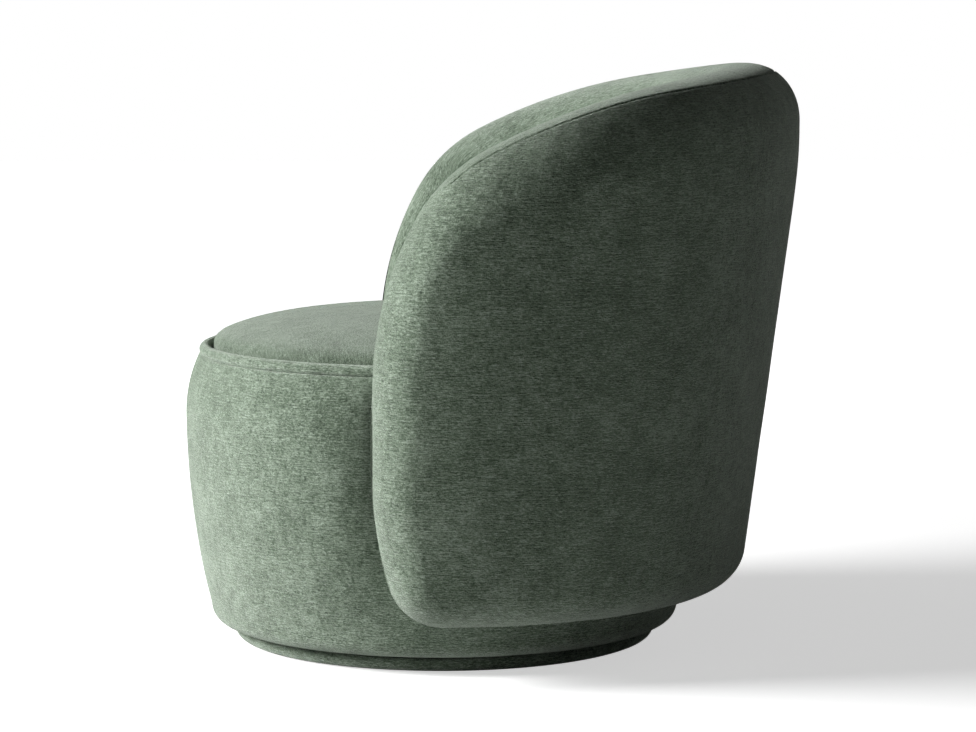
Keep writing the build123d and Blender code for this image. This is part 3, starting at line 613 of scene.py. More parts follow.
section_walk = walked(top_section)
disc_x, disc_y = square_to_disc(DISC)
share = np.hypot(disc_x, disc_y)
inside_share = np.clip(share, 0, 1)
walk = inside_share * section_walk[-1]
disc_r = np.interp(walk, section_walk, top_section[:, 0])
disc_z = np.interp(walk, section_walk, top_section[:, 1]) - CROWN_SINK * (1 - inside_share**2)
reach = disc_r / np.maximum(share, 1e-9)
top_points = np.stack([disc_x * reach, disc_y * reach, disc_z], -1)
top_weave = np.stack([disc_x * SEAT_SQUEEZE, disc_y], -1) * section_walk[-1]
last = DISC - 1
rim_order = [(0, j) for j in range(last)] + [(i, last) for i in range(last)]
rim_order += [(last, j) for j in range(last, 0, -1)] + [(i, 0) for i in range(last, -1, -1)]
rim_points = np.array([top_points[i, j] for i, j in rim_order])
foot_share = spread(1, 0, FOOT_RINGS)[:, None, None]
foot_z = np.full((FOOT_RINGS, len(rim_order), 1), seat_low.z)
foot = np.concatenate([rim_points[None, :, :2] * foot_share, foot_z], -1)
tuck = np.stack([rim_points, foot[0]])
tuck_weave = np.stack([rim_points[:, :2], rim_points[:, :2]])
seat_top = sew("seat_top", [(top_points, top_weave), (tuck, tuck_weave), (foot, foot[..., :2])])
print("seat form:", len(seat_top.data.vertices), "points")

# %% Cloth fills the seat top
SEAT_PRESSURE = 0.4
SEAT_CAP = 0.006
HELD_BAND = 0.012         # height of the tucked edge that is held
CLOTH_FRAMES = 20


def fill_with_air(piece, held, pressure, cap):
    """Blow a piece up with a short cloth simulation; points in held stay, and no point moves past cap."""
    start = np.array([v.co for v in piece.data.vertices])
    group = piece.vertex_groups.new(name="held")
    group.add([int(i) for i in np.flatnonzero(held)], 1.0, "REPLACE")
    cloth = piece.modifiers.new("air", "CLOTH")
    cloth.settings.quality = 6
    cloth.settings.mass = 0.4
    cloth.settings.tension_stiffness = 12
    cloth.settings.compression_stiffness = 12
    cloth.settings.bending_stiffness = 2
    cloth.settings.use_pressure = True
    cloth.settings.uniform_pressure_force = pressure
    cloth.settings.vertex_group_mass = "held"
    cloth.settings.effector_weights.gravity = 0
    cloth.collision_settings.use_collision = False
    cloth.point_cache.frame_start = 1
    cloth.point_cache.frame_end = CLOTH_FRAMES
    for number in range(1, CLOTH_FRAMES + 1):
        scene.frame_set(number)
    graph = bpy.context.evaluated_depsgraph_get()
    settled = piece.evaluated_get(graph).data
    end = np.array([v.co for v in settled.vertices])
    piece.modifiers.clear()
    piece.vertex_groups.clear()
    move = end - start
    length = np.linalg.norm(move, axis=1, keepdims=True)
    move *= np.minimum(1, cap / np.maximum(length, 1e-9))
    piece.data.vertices.foreach_set("co", (start + move).astype(np.float32).ravel())
    piece.data.update()
    scene.frame_set(1)
    furthest = float(np.linalg.norm(move, axis=1).max()) * 1000
    top = float((start + move)[:, 2].max())
    print(piece.name, "moved up to", round(furthest, 2), "mm, top at", round(top, 4), "m")


seat_at = np.array([v.co for v in seat_top.data.vertices])
fill_with_air(seat_top, seat_at[:, 2] < top_section[-1, 1] + HELD_BAND, SEAT_PRESSURE, SEAT_CAP)
settle(seat_top, "seat", "seat_cushion")

# %% [markdown]
# ## The back: one form for two covers
# The back is a round shell that leans and widens upwards, cut to a side view with a bowed front edge, a
# big shoulder and a rising rim, and all its edges are generously rounded. Two covers meet on it: the
# outside panel stops at a seam on the rim's outer round, and the inside cover carries on over the rim.
# Both are drawn on the same spokes, which run from the middle of the outside, over the rim, to
# the middle of the inside, so the seam is a clean line.

# %% Side view of the back
BACK_BOTTOM, BACK_TOP = 0.072, 0.762
ARM_FRONT = -0.090
BOW_R = 0.440
LOWER_BOW, UPPER_BOW = math.radians(17), math.radians(28)
FOOT_CORNER_R = 0.070
SHOULDER_R, SHOULDER_TURN = 0.215, math.radians(35)
CREST_R = 0.850
RIM_SLOPE = math.radians(10.5)
CREST_Y = 0.400
TOP_R_BACK, BACK_LEAN = 0.430, 0.044
PAST_REAR = 0.02               # the outline runs on past the rear wall, which then cuts it
OUTLINE_STEP, FEWEST_STEPS = 0.004, 6
BOTTOM_POINTS, FRONT_POINTS, RIM_POINTS = 120, 30, 60


def turn_along(start, heading, radius, turn):
    """Points and headings of an arc that starts at a point with a heading and turns by an angle."""
    count = max(int(abs(turn) * radius / OUTLINE_STEP), FEWEST_STEPS)
    side = 1 if turn > 0 else -1
    centre = np.array(start) + side * radius * np.array([-math.sin(heading), math.cos(heading)])
    headings = heading + spread(0, turn, count)
    offsets = side * radius * np.stack([np.sin(headings), -np.cos(headings)], -1)
    return centre + offsets, headings


def carry_on(legs, radius, turn):
    """Add an arc that goes on from the end of the last one."""
    points, headings = legs[-1]
    legs.append(turn_along(points[-1], headings[-1], radius, turn))


def side_view():
    """Outline of the back from the foot at the rear, round the arm's front, to the top at the rear.

    Gives points (y, z) and headings, running forwards along the bottom and back along the rim."""
    turned = 1 - math.sin(LOWER_BOW)
    bow_foot = BACK_BOTTOM + FOOT_CORNER_R * turned + BOW_R * math.sin(LOWER_BOW)
    corner_y = ARM_FRONT + BOW_R * (1 - math.cos(LOWER_BOW)) + FOOT_CORNER_R * math.cos(LOWER_BOW)
    reach = TOP_R_BACK + BACK_LEAN + PAST_REAR
    bottom = np.stack([spread(reach, corner_y, BOTTOM_POINTS), np.full(BOTTOM_POINTS, BACK_BOTTOM)], -1)
    legs = [(bottom, np.full(BOTTOM_POINTS, math.pi))]
    legs.append(turn_along((corner_y, BACK_BOTTOM), math.pi, FOOT_CORNER_R, LOWER_BOW - math.pi / 2))
    carry_on(legs, BOW_R, -LOWER_BOW)
    crest_turn = math.pi / 2 - UPPER_BOW - SHOULDER_TURN - RIM_SLOPE
    upper = [turn_along((0, 0), math.pi / 2, BOW_R, -UPPER_BOW)]
    carry_on(upper, SHOULDER_R, -SHOULDER_TURN)
    carry_on(upper, CREST_R, -crest_turn)
    run = CREST_Y - ARM_FRONT - upper[-1][0][-1][0]
    rise = upper[-1][0][-1][1] + run * math.tan(RIM_SLOPE)
    foot_of_upper = np.array([ARM_FRONT, BACK_TOP - rise])
    front_z = spread(bow_foot, foot_of_upper[1], FRONT_POINTS)
    front = np.stack([np.full(FRONT_POINTS, ARM_FRONT), front_z], -1)
    legs.append((front, np.full(FRONT_POINTS, math.pi / 2)))
    legs += [(points + foot_of_upper, headings) for points, headings in upper]
    slope_end = np.array([reach, BACK_TOP + (reach - CREST_Y) * math.tan(RIM_SLOPE)])
    last_point = legs[-1][0][-1]
    rim = last_point + spread(0, 1, RIM_POINTS)[:, None] * (slope_end - last_point)
    legs.append((rim, np.full(RIM_POINTS, RIM_SLOPE)))
    points = np.concatenate([p[1:] for p, _ in legs])
    headings = np.concatenate([h[1:] for _, h in legs])
    return points, headings


outline, outline_heading = side_view()
print("side view:", len(outline), "points, top", round(float(outline[:, 1].max()), 4))

# %% Round sections of the back
FOOT_R_BACK = 0.3955
LEAN_RATE, LEAN_STOP, LEAN_EASE = 1.145, 0.93, 0.03    # the rear wall leans and stands up near the rim
DECK_Z = 0.378                                         # where the sitter's space starts
SPACE_DECK_R, SPACE_FLARE = 0.300, 0.010
SPACE_SHIFT, SPACE_LEAN = -0.030, 0.057


def outer_section(z):
    """Centre and radius of the back's outside at height z."""
    climb = LEAN_RATE * (z - BACK_BOTTOM) / (BACK_TOP - BACK_BOTTOM)
    share = climb - LEAN_EASE * np.log1p(np.exp((climb - LEAN_STOP) / LEAN_EASE))
    return BACK_LEAN * share, FOOT_R_BACK + (TOP_R_BACK - FOOT_R_BACK) * share


def inner_section(z):
    """Centre and radius of the sitter's space at height z."""
    share = (z - DECK_Z) / (BACK_TOP - DECK_Z)
    return SPACE_SHIFT + SPACE_LEAN * share, SPACE_DECK_R + SPACE_FLARE * share


def on_wall(section, angle, z, inset=0.0):
    """Point on a round wall at an angle from the rear, drawn in by inset."""
    centre, radius = section(z)
    radius = radius - inset
    return np.stack([radius * np.sin(angle), centre + radius * np.cos(angle), z], -1)


def wall_angle(section, points):
    """Angle from the rear of points round a wall."""
    centre, _ = section(points[..., 2])
    return np.arctan2(points[..., 0], points[..., 1] - centre)


def wall_depth(section, points):
    """How far points lie inside a round wall."""
    centre, radius = section(points[..., 2])
    return radius - np.hypot(points[..., 0], points[..., 1] - centre)


def side_depth(points):
    """How far points lie inside the side view."""
    flat = points[:, 1:]
    gap = flat[:, None, :] - outline[None, :, :]
    nearest = np.argmin((gap**2).sum(-1), axis=1)
    heading = outline_heading[nearest]
    inward = np.stack([np.sin(heading), -np.cos(heading)], -1)
    return (gap[np.arange(len(flat)), nearest] * inward).sum(-1)


print("back's outside at the foot:", [round(float(v), 4) for v in outer_section(BACK_BOTTOM)])

# %% Where the spokes cross the back's edge
MIDDLE_Z = 0.420
MIDDLE_ANGLE = math.radians(62)
SPOKE_STEP = 0.0065
REAR_TRIES = 20                # the rim's rear end is found by trying its height over and over

edge_centre, edge_radius = outer_section(outline[:, 1])
edge_cosine = (outline[:, 0] - edge_centre) / edge_radius
on_shell = edge_cosine < 1
foot_rear = (sum(outer_section(BACK_BOTTOM)), BACK_BOTTOM)
rim_rear_z = BACK_TOP
for _ in range(REAR_TRIES):
    rim_rear_y = sum(outer_section(rim_rear_z))
    rim_rear_z = BACK_TOP + (rim_rear_y - CREST_Y) * math.tan(RIM_SLOPE)
edge_points = np.vstack([foot_rear, outline[on_shell], (rim_rear_y, rim_rear_z)])
edge_heading = np.concatenate([[math.pi], outline_heading[on_shell], [RIM_SLOPE]])
edge_angle = np.concatenate([[0], np.arccos(np.clip(edge_cosine[on_shell], -1, 1)), [0]])
front_most = int(np.argmax(edge_angle))
middle_count = int(MIDDLE_ANGLE * TOP_R_BACK / SPOKE_STEP)
middle_angles = spread(0, MIDDLE_ANGLE, middle_count)
order = np.arange(len(edge_points), dtype=float)
bottom_at = np.interp(middle_angles, edge_angle[:front_most], order[:front_most])
rim_at = np.interp(middle_angles, edge_angle[:front_most:-1], order[:front_most:-1])
between = np.arange(int(bottom_at[-1]), int(rim_at[-1]) + 1)
front_walk = walked(edge_points[between])
end_count = int(front_walk[-1] / SPOKE_STEP)
end_at = np.interp(spread(0, front_walk[-1], end_count)[1:-1], front_walk, between)
spoke_at = np.concatenate([bottom_at, end_at, rim_at[::-1]])
print("spokes on one half:", len(spoke_at))

# %% Places and directions of the spokes
spoke_middle = np.concatenate([middle_angles, np.full(len(end_at), MIDDLE_ANGLE), middle_angles[::-1]])
spoke_y = np.interp(spoke_at, order, edge_points[:, 0])
spoke_z = np.interp(spoke_at, order, edge_points[:, 1])
spoke_heading = np.interp(spoke_at, order, edge_heading)
spoke_angle = np.interp(spoke_at, order, edge_angle)
spoke_edge = on_wall(outer_section, spoke_angle, spoke_z)
spoke_out = np.stack([np.sin(spoke_angle), np.cos(spoke_angle), 0 * spoke_angle], -1)
spoke_side = np.stack([0 * spoke_y, -np.sin(spoke_heading), np.cos(spoke_heading)], -1)
spoke_lean = (spoke_out * spoke_side).sum(-1)
print("spokes reach", round(float(spoke_edge[:, 2].max()), 4), "m up")

# %% How round the edge is, and where the seam runs, on each spoke
ROUND_AT = [0.0, 0.35, 0.70, 1.08, 1.4]          # angle from the rear
RIM_ROUND = [0.085, 0.082, 0.075, 0.062, 0.058]   # over the rim, above the seam
SIDE_ROUND = [0.088, 0.095, 0.120, 0.160, 0.170]  # up to the seam, where the outside panel swells gently
FOOT_EDGE_ROUND = 0.046
FOOT_ENDS, RIM_STARTS = 0.09, 0.36               # between these heights the foot's round becomes the rim's
SEAM_DEPTH = 0.033                               # how far in from the outside the seam lies on the rim
FRONT_SEAM = math.radians(92)                    # on the arm's front it lies just past the foremost line
FRONT_FROM, FRONT_TO = 112, 93                   # the edge's heading in degrees, where the front begins
SHOULDER_FROM, SHOULDER_TO = 42, 62              # where it ends, for the seam
SWELL_FROM, SWELL_TO = 14, 64                    # where it ends, for the panel's swell


def ease(value, start, end):
    """Smooth step from 0 at start to 1 at end."""
    t = np.clip((value - start) / (end - start), 0, 1)
    return t * t * (3 - 2 * t)


rim_share = ease(spoke_z, FOOT_ENDS, RIM_STARTS)
rim_r = np.interp(spoke_angle, ROUND_AT, RIM_ROUND)
outer_r = FOOT_EDGE_ROUND + (rim_r - FOOT_EDGE_ROUND) * rim_share
heading_degrees = np.degrees(spoke_heading)
up_front = ease(heading_degrees, FRONT_FROM, FRONT_TO)
at_front = up_front * ease(heading_degrees, SHOULDER_FROM, SHOULDER_TO)
seam_angle = np.arccos(1 - SEAM_DEPTH / outer_r)
seam_angle += at_front * (FRONT_SEAM - seam_angle)
seam_bend = np.minimum(seam_angle, math.pi / 2)
seam_inset = outer_r * (1 - np.cos(seam_bend) + seam_angle - seam_bend)
seam_below = outer_r * (1 - np.sin(seam_bend))
side_r = np.interp(spoke_angle, ROUND_AT, SIDE_ROUND)
near_front = up_front * ease(heading_degrees, SWELL_FROM, SWELL_TO)
side_r = outer_r + (side_r - outer_r) * rim_share * (1 - near_front)
side_seam_angle = np.arccos(1 - seam_inset / side_r)
print("edge rounds from", round(float(outer_r.min()), 3), "to", round(float(outer_r.max()), 3), "m")

# %% Points on the spokes
INNER_ROUND = 0.040
SPOKE_TRIES = 12               # each point is moved until it lies as deep as asked


def section_point(section, depth, below, guess):
    """Points on every spoke at a depth inside a wall and a distance below the side view's edge."""
    slide = guess + np.zeros(len(spoke_at))
    drop = below - slide * spoke_lean
    for _ in range(SPOKE_TRIES):
        points = spoke_edge - slide[:, None] * spoke_out - drop[:, None] * spoke_side
        drop += below - side_depth(points)
        slide += depth - wall_depth(section, points)
    return points


def side_round(angle):
    """Row on the outside panel's swell up to the seam; angle 0 is where it leaves the wall."""
    depth = seam_inset - side_r * (np.cos(angle) - np.cos(side_seam_angle))
    below = seam_below + side_r * (np.sin(side_seam_angle) - np.sin(angle))
    return section_point(outer_section, depth, below, depth)


def outer_round(angle):
    """Row on the rim's outer round, above the seam; a right angle is the rim's top."""
    bend = np.minimum(angle, math.pi / 2)
    depth = outer_r * (1 - np.cos(bend) + angle - bend)
    below = outer_r * (1 - np.sin(bend))
    return section_point(outer_section, depth, below, depth)


def inner_round(angle):
    """Row on the inner round; angle 0 is the rim's top, a right angle is where it meets the inside."""
    outside = INNER_ROUND * (1 - math.sin(angle))
    below = INNER_ROUND * (1 - math.cos(angle))
    wall = TOP_R_BACK - SPACE_DECK_R
    return section_point(inner_section, -outside, below, wall - outside)


def wall_rows(section, edge_row, shares, inset=0.0):
    """Rows on a wall from the middle line out to edge_row, at shares of the way."""
    angle = wall_angle(section, edge_row)
    rows = []
    for share in shares:
        row_angle = spoke_middle + share * (angle - spoke_middle)
        row_z = MIDDLE_Z + share * (edge_row[:, 2] - MIDDLE_Z)
        rows.append(on_wall(section, row_angle, row_z, inset))
    return rows


print("inner round:", INNER_ROUND, "m")

# %% Rows along each spoke
SEAM_STEPS = np.array([0.0, 0.0006, 0.0013, 0.0021, 0.0031, 0.0044, 0.006, 0.0085, 0.012])
WALL_ROWS, SWELL_ROWS, CREST_ROWS, INNER_ROWS = 40, 13, 5, 15
FLAT_SHARES = (0.33, 0.67)     # rows on the flat of the rim, between its two rounds
PAST_SEAM = 0.01               # least angle from the last row at the seam to the rim's top
wall_shares = spread(0, 1, WALL_ROWS)
outside_start = side_round(np.zeros(len(spoke_at)))
outside_rows = wall_rows(outer_section, outside_start, wall_shares)
round_angles = [t * (side_seam_angle - SEAM_STEPS[-1] / side_r) for t in spread(0, 1, SWELL_ROWS)[1:-1]]
round_angles += [side_seam_angle - step / side_r for step in SEAM_STEPS[::-1]]
outside_rows += [side_round(a) for a in round_angles]
over_angles = [seam_angle + step / outer_r for step in SEAM_STEPS]
crest_angle = np.maximum(math.pi / 2, over_angles[-1] + PAST_SEAM)
crest_shares = spread(0, 1, CREST_ROWS)[1:]
rim_rows = [outer_round(a) for a in over_angles]
rim_rows += [outer_round(over_angles[-1] + t * (crest_angle - over_angles[-1])) for t in crest_shares]
rim_start, rim_end = rim_rows[-1], inner_round(0.0)
rim_rows += [rim_start + s * (rim_end - rim_start) for s in FLAT_SHARES]
rim_rows += [inner_round(a) for a in spread(0, math.pi / 2, INNER_ROWS)]
inside_rows = wall_rows(inner_section, rim_rows[-1], wall_shares[::-1])
print("rows:", len(outside_rows), "outside,", len(rim_rows), "over the rim,", len(inside_rows), "inside")

# %% Room for the seat
SEAM_DIP, SEAM_WIDTH = 0.0020, 0.0012
SEAT_GAP = 0.0008
ROLL_FOOT, ROLL_CREST, ROLL_POINTS = 0.0005, 0.0002, 12    # the roll is read just inside its ends


def seat_outline():
    """Radius of the drum, its roll and the seat top by height."""
    drum = np.concatenate([above_round, side_top[1:-1]])
    top_r, top_z = top_section[top_section[:, 1] > roll_high.z][::-1].T
    roll_z = spread(drum_high.z + ROLL_FOOT, roll_high.z - ROLL_CREST, ROLL_POINTS)
    roll_reach = np.clip(ROLL_R**2 - (roll_z - roll_high.z + ROLL_R) ** 2, 0, None)
    roll_r = roll_high.x - ROLL_R + np.sqrt(roll_reach)
    z = np.concatenate([drum[:, 1], roll_z, top_z])
    r = np.concatenate([drum[:, 0], roll_r, top_r])
    return z, r


seat_z, seat_edge_r = seat_outline()


def clear_of_seat(points):
    """Points moved straight out from the swivel axis until they clear the seat."""
    radius = np.hypot(points[..., 0], points[..., 1])
    needed = np.interp(points[..., 2], seat_z, seat_edge_r, left=0, right=0) + SEAT_GAP
    grow_by = np.maximum(1, needed / np.maximum(radius, 1e-6))
    return points * np.stack([grow_by, grow_by, np.ones_like(grow_by)], -1)


def both_halves(rows):
    """Rows of one half and its mirror image, all the way round."""
    rows = np.asarray(rows)
    mirrored = rows[:, ::-1][:, 1:]
    sign = np.array([-1, 1, 1] if rows.shape[-1] == 3 else [-1, 1])
    return np.concatenate([rows, mirrored * sign], axis=1)


def sink_seam(row, step):
    """Row at a distance of step from the seam, pulled in as the stitching pulls it."""
    out = np.cos(seam_angle)[:, None] * spoke_out + np.sin(seam_angle)[:, None] * spoke_side
    out /= np.linalg.norm(out, axis=1, keepdims=True)
    return row - out * SEAM_DIP * math.exp(-((step / SEAM_WIDTH) ** 2))


print("seat room from", round(float(seat_z[0]), 3), "to", round(float(seat_z[-1]), 3), "m up")

# %% [markdown]
# ### Outside panel
# The outside panel is one wide cloth, its yarns level, from the seam on one side of the rim right round
# under the arms to the seam again. A wide sheet over foam is never quite even, so two soft ripples
# move it in and out, and they die away towards the seam, which holds it.

# %% Weave of the outside panel
edge_tangent = np.stack([np.cos(spoke_angle), -np.sin(spoke_angle), 0 * spoke_angle], -1)
edge_way = np.stack([(spoke_side * edge_tangent).sum(-1), spoke_side[:, 2]], -1)
edge_way /= np.linalg.norm(edge_way, axis=1, keepdims=True)


def wall_weave(section, row, radius):
    """Weave of a row that lies on a wall."""
    return np.stack([wall_angle(section, row) * radius, row[:, 2]], -1)


wall_count = len(wall_shares)
outside_weave = [wall_weave(outer_section, row, TOP_R_BACK) for row in outside_rows[:wall_count]]
wall_end = outside_weave[-1]
outside_weave += [wall_end + edge_way * (a * side_r)[:, None] for a in round_angles]
print("weave of the outside panel:", len(outside_weave), "rows")

# %% Outside panel
PANEL_RIPPLE = 0.0007
PANEL_WAVE, FINE_WAVE, FINE_SHARE = 0.14, 0.045, 0.35
CLOSE_DEPTH = 0.0325                    # how thick the padding is behind the panel
CLOSE_DROPS = (0.011, 0.033, 0.058)     # rows behind it, below the seam
HOLLOW_SHARES = (0.8, 0.6, 0.4, 0.2, 0)
seam_count = len(SEAM_STEPS)
outside_face = outside_rows[:-seam_count]
seam_rows = zip(outside_rows[-seam_count:], SEAM_STEPS[::-1])
outside_face += [sink_seam(row, step) for row, step in seam_rows]
close_rows = [section_point(outer_section, CLOSE_DEPTH, seam_below + drop, CLOSE_DEPTH)
              for drop in CLOSE_DROPS]
close_walls = wall_rows(outer_section, close_rows[-1], HOLLOW_SHARES, CLOSE_DEPTH)
outside_close = [outside_face[-1], *close_rows, *close_walls]
face_points = both_halves(outside_face)
calm = np.concatenate([np.ones(wall_count), spread(1, 0, len(round_angles))])[:, None]
swell = ripple(face_points, PANEL_WAVE, seed=11) + FINE_SHARE * ripple(face_points, FINE_WAVE, seed=12)
swell = swell * PANEL_RIPPLE * calm
centre_y, _ = outer_section(face_points[..., 2])
radial = np.stack([face_points[..., 0], face_points[..., 1] - centre_y], -1)
face_points[..., :2] += radial / np.linalg.norm(radial, axis=-1, keepdims=True) * swell[..., None]
close_points = both_halves(outside_close)
close_points[0] = face_points[-1]
close_weave = both_halves([wall_weave(outer_section, row, TOP_R_BACK) for row in outside_close])
back_outside = sew("back_outside_panel", [
    (face_points, both_halves(outside_weave)),
    (close_points, close_weave),
])
settle(back_outside, "seat", "back_outer_pad")

# %% [markdown]
# ### Inside cover
# The inside cover starts at the seam, rolls over the rim and the arms, and lies against the seat where
# it goes down behind the cushion. Inside it is hollowed for the frame and its webbing. Cutting the
# seat's form out of it would leave a sharp edge, so points that would lie in the seat are moved out.

# %% Faces and weave of the inside cover
inside_face = [sink_seam(row, step) for row, step in zip(rim_rows[:seam_count], SEAM_STEPS)]
inside_face += rim_rows[seam_count:] + inside_rows[1:]
edge_walk = walked(spoke_edge)
across = np.zeros(len(spoke_at))
rim_weave = []
for number, row in enumerate(rim_rows):
    if number:
        across = across + np.linalg.norm(row - rim_rows[number - 1], axis=1)
    rim_weave.append(np.stack([edge_walk - edge_walk[-1], across], -1))
inside_weave = [wall_weave(inner_section, row, SPACE_DECK_R) for row in inside_rows]
rim_face = clear_of_seat(both_halves(inside_face[:len(rim_rows)]))
wall_face = clear_of_seat(both_halves(inside_face[len(rim_rows) - 1:]))
print("inside cover:", len(rim_face), "rows over the rim,", len(wall_face), "on the inside")

# %% Inside cover
POCKET_DEPTH = 0.0335                   # just past the outside panel's padding
FRAME_DEPTH, FRAME_DROP = 0.0615, 0.036
pocket_rows = [section_point(outer_section, POCKET_DEPTH, seam_below + drop, POCKET_DEPTH)
               for drop in CLOSE_DROPS[:2]]
pocket_rows.append(section_point(outer_section, FRAME_DEPTH, FRAME_DROP, FRAME_DEPTH))
pocket_walls = wall_rows(outer_section, pocket_rows[-1], HOLLOW_SHARES, FRAME_DEPTH)
pocket_lining = [inside_face[0], *pocket_rows, *pocket_walls]
pocket = both_halves(pocket_lining)
pocket[0] = rim_face[0]
pocket_weave = both_halves([wall_weave(outer_section, row, TOP_R_BACK) for row in pocket_lining])
back_inside = sew("back_inside_cover", [
    (rim_face, both_halves(rim_weave)),
    (wall_face, both_halves(inside_weave)),
    (pocket, pocket_weave),
])
settle(back_inside, "seat", "back_inner_pad")

# %% [markdown]
# ## Staples of the dust cloth
# The black dust cloth under the drum is held by a ring of staples. An array modifier could turn copies
# round the axis. Geometry Nodes put one small staple on each point of a circle instead, with
# the count and the sizes as named inputs.

# %% Staples by Geometry Nodes
STAPLE_COUNT = 56
STAPLE_SIZE = (0.010, 0.0012, 0.0007)
STAPLE_INSET = 0.012


def staple_tree():
    """Geometry Nodes tree that puts a staple on each point of a circle."""
    tree, given = new_tree("staple_ring", {
        "Count": "Int",
        "Ring radius": "Float",
        "Height": "Float",
        "Staple size": "Vector",
        "Wire": "Material",
    })
    ring = put(tree, "GeometryNodeMeshCircle", {"Vertices": given["Count"], "Radius": given["Ring radius"]})
    place = put(tree, "GeometryNodeInputPosition")
    turn = put(tree, "FunctionNodeAlignEulerToVector", {"Vector": place.outputs[0]}, axis="Y")
    staple = put(tree, "GeometryNodeMeshCube", {"Size": given["Staple size"]})
    stamped = put(tree, "GeometryNodeInstanceOnPoints", {
        "Points": ring.outputs["Mesh"],
        "Instance": staple.outputs["Mesh"],
        "Rotation": turn.outputs[0],
    })
    rise = put(tree, "ShaderNodeCombineXYZ", {"Z": given["Height"]})
    moved = put(tree, "GeometryNodeTransform",
                {"Geometry": stamped.outputs[0], "Translation": rise.outputs[0]})
    return end_tree(tree, moved.outputs[0], given["Wire"])


dust_low, dust_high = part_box("dust_cover")
dust_staples = grow("dust_cloth_staples", staple_tree(), {
    "Count": STAPLE_COUNT,
    "Ring radius": dust_high.x - STAPLE_INSET,
    "Height": dust_low.z,
    "Staple size": STAPLE_SIZE,
    "Wire": finishes["zinc_steel"],
})
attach(dust_staples, "seat")
print("staples:", len(dust_staples.data.polygons), "faces")

# %% [markdown]
# ## Floor, light and background
# A white studio floor runs out into a white background. A big soft lamp stands in front of the chair
# and above it, so that the seat's front is bright, the side is half lit, the back falls into shade
# and the shadow lies behind the chair. Weak lamps keep the shaded sides from going black. More light
# could make the floor white, but it would bleach the cloth, so the floor glows a little to the eye only.

# %% Studio floor
FLOOR_REACH = 14.0
FLOOR_GREY = "#dcdcdc"
FADE_START, FADE_END = 1.1, 2.6    # distances from the axis between which shadows fade out
LIFT = 0.57                        # glow of the floor under the chair; 1 is white


def seen(tree):
    """1 for rays that show a surface to the eye, also by way of metal or glass, and 0 for all others."""
    rays = put(tree, "ShaderNodeLightPath").outputs
    shown = rays["Is Camera Ray"]
    for kind in ("Is Glossy Ray", "Is Transmission Ray"):
        shown = put(tree, "ShaderNodeMath", {0: shown, 1: rays[kind]}, operation="MAXIMUM").outputs[0]
    return shown


def studio_white():
    """White floor that keeps shadows near the chair and fades to plain white further out."""
    material, tree, shader = new_material("studio_floor_white")
    output = next(n for n in tree.nodes if n.type == "OUTPUT_MATERIAL")
    shader.inputs["Base Color"].default_value = colour(FLOOR_GREY)
    shader.inputs["Roughness"].default_value = 0.9
    shader.inputs["Specular IOR Level"].default_value = 0.0
    place = put(tree, "ShaderNodeTexCoord").outputs["Object"]
    away = put(tree, "ShaderNodeVectorMath", {0: place}, operation="LENGTH")
    fade = put(tree, "ShaderNodeMapRange", {
        "Value": away.outputs["Value"],
        "From Min": FADE_START,
        "From Max": FADE_END,
        "To Min": LIFT,
        "To Max": 1.0,
    }, interpolation_type="SMOOTHSTEP")
    strength = put(tree, "ShaderNodeMath", {0: fade.outputs[0], 1: seen(tree)}, operation="MULTIPLY")
    glow = put(tree, "ShaderNodeEmission", {"Color": (1, 1, 1, 1), "Strength": strength.outputs[0]})
    both = put(tree, "ShaderNodeAddShader", {0: shader.outputs[0], 1: glow.outputs[0]})
    tree.links.new(both.outputs[0], output.inputs["Surface"])
    return material


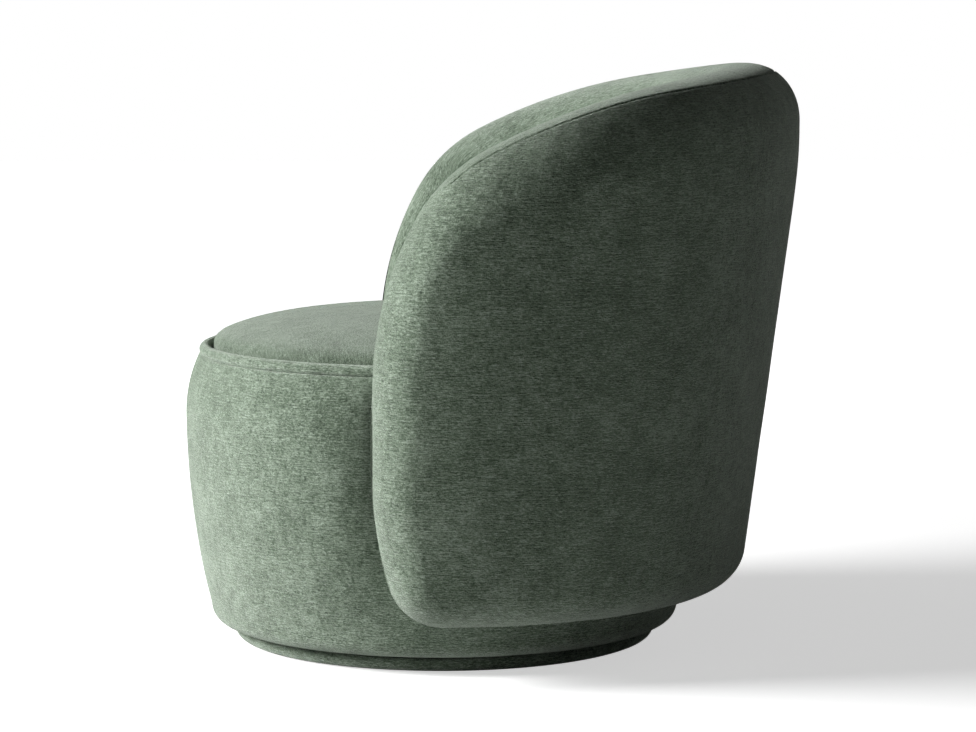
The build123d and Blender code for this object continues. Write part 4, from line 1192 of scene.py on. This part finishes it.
floor_mesh = bpy.data.meshes.new("studio_floor")
corners = [(-FLOOR_REACH, -FLOOR_REACH, 0), (FLOOR_REACH, -FLOOR_REACH, 0),
           (FLOOR_REACH, FLOOR_REACH, 0), (-FLOOR_REACH, FLOOR_REACH, 0)]
floor_mesh.from_pydata(corners, [], [(0, 1, 2, 3)])
floor_mesh.materials.append(studio_white())
studio_floor = bpy.data.objects.new("studio_floor", floor_mesh)
scene.collection.objects.link(studio_floor)
print("floor:", 2 * FLOOR_REACH, "m square")

# %% Lamps and background
LAMPS = {
    # name: place, aim, width in metres, power in watts
    "key_lamp": ((0.43, -3.7, 2.0), (0.0, 0.0, 0.4), 1.9, 355),
    "fill_lamp": ((4.0, -0.8, 2.2), (0.0, 0.0, 0.4), 2.5, 2),
    "top_lamp": ((-0.2, -1.4, 3.4), (0.0, 0.0, 0.4), 1.6, 4),
    "rear_lamp": ((-2.4, 2.9, 1.6), (0.0, 0.0, 0.5), 2.2, 9),
}
WORLD_LIGHT = 0.010


def soft_lamp(name, at, aim_at, size, power):
    """Round area lamp that looks at a point."""
    lamp = bpy.data.objects.new(name, bpy.data.lights.new(name, "AREA"))
    lamp.data.shape = "DISK"
    lamp.data.size = size
    lamp.data.energy = power
    lamp.location = at
    lamp.rotation_euler = (Vector(aim_at) - Vector(at)).to_track_quat("-Z", "Y").to_euler()
    scene.collection.objects.link(lamp)


for name, (at, aim_at, size, power) in LAMPS.items():
    soft_lamp(name, at, aim_at, size, power)
world = bpy.data.worlds.new("studio_white")
scene.world = world
world.use_nodes = True
sky = world.node_tree
sky.nodes.clear()
dim = put(sky, "ShaderNodeBackground", {"Color": (1, 1, 1, 1), "Strength": WORLD_LIGHT})
white = put(sky, "ShaderNodeBackground", {"Color": (1, 1, 1, 1), "Strength": 1.0})
either = put(sky, "ShaderNodeMixShader", {0: seen(sky), 1: dim.outputs[0], 2: white.outputs[0]})
put(sky, "ShaderNodeOutputWorld", {"Surface": either.outputs[0]})
print("lamps:", ", ".join(LAMPS))

# %% [markdown]
# ## Last update
# The scene is brought up to date once more.

# %% Bring the scene up to date
bpy.context.view_layer.update()
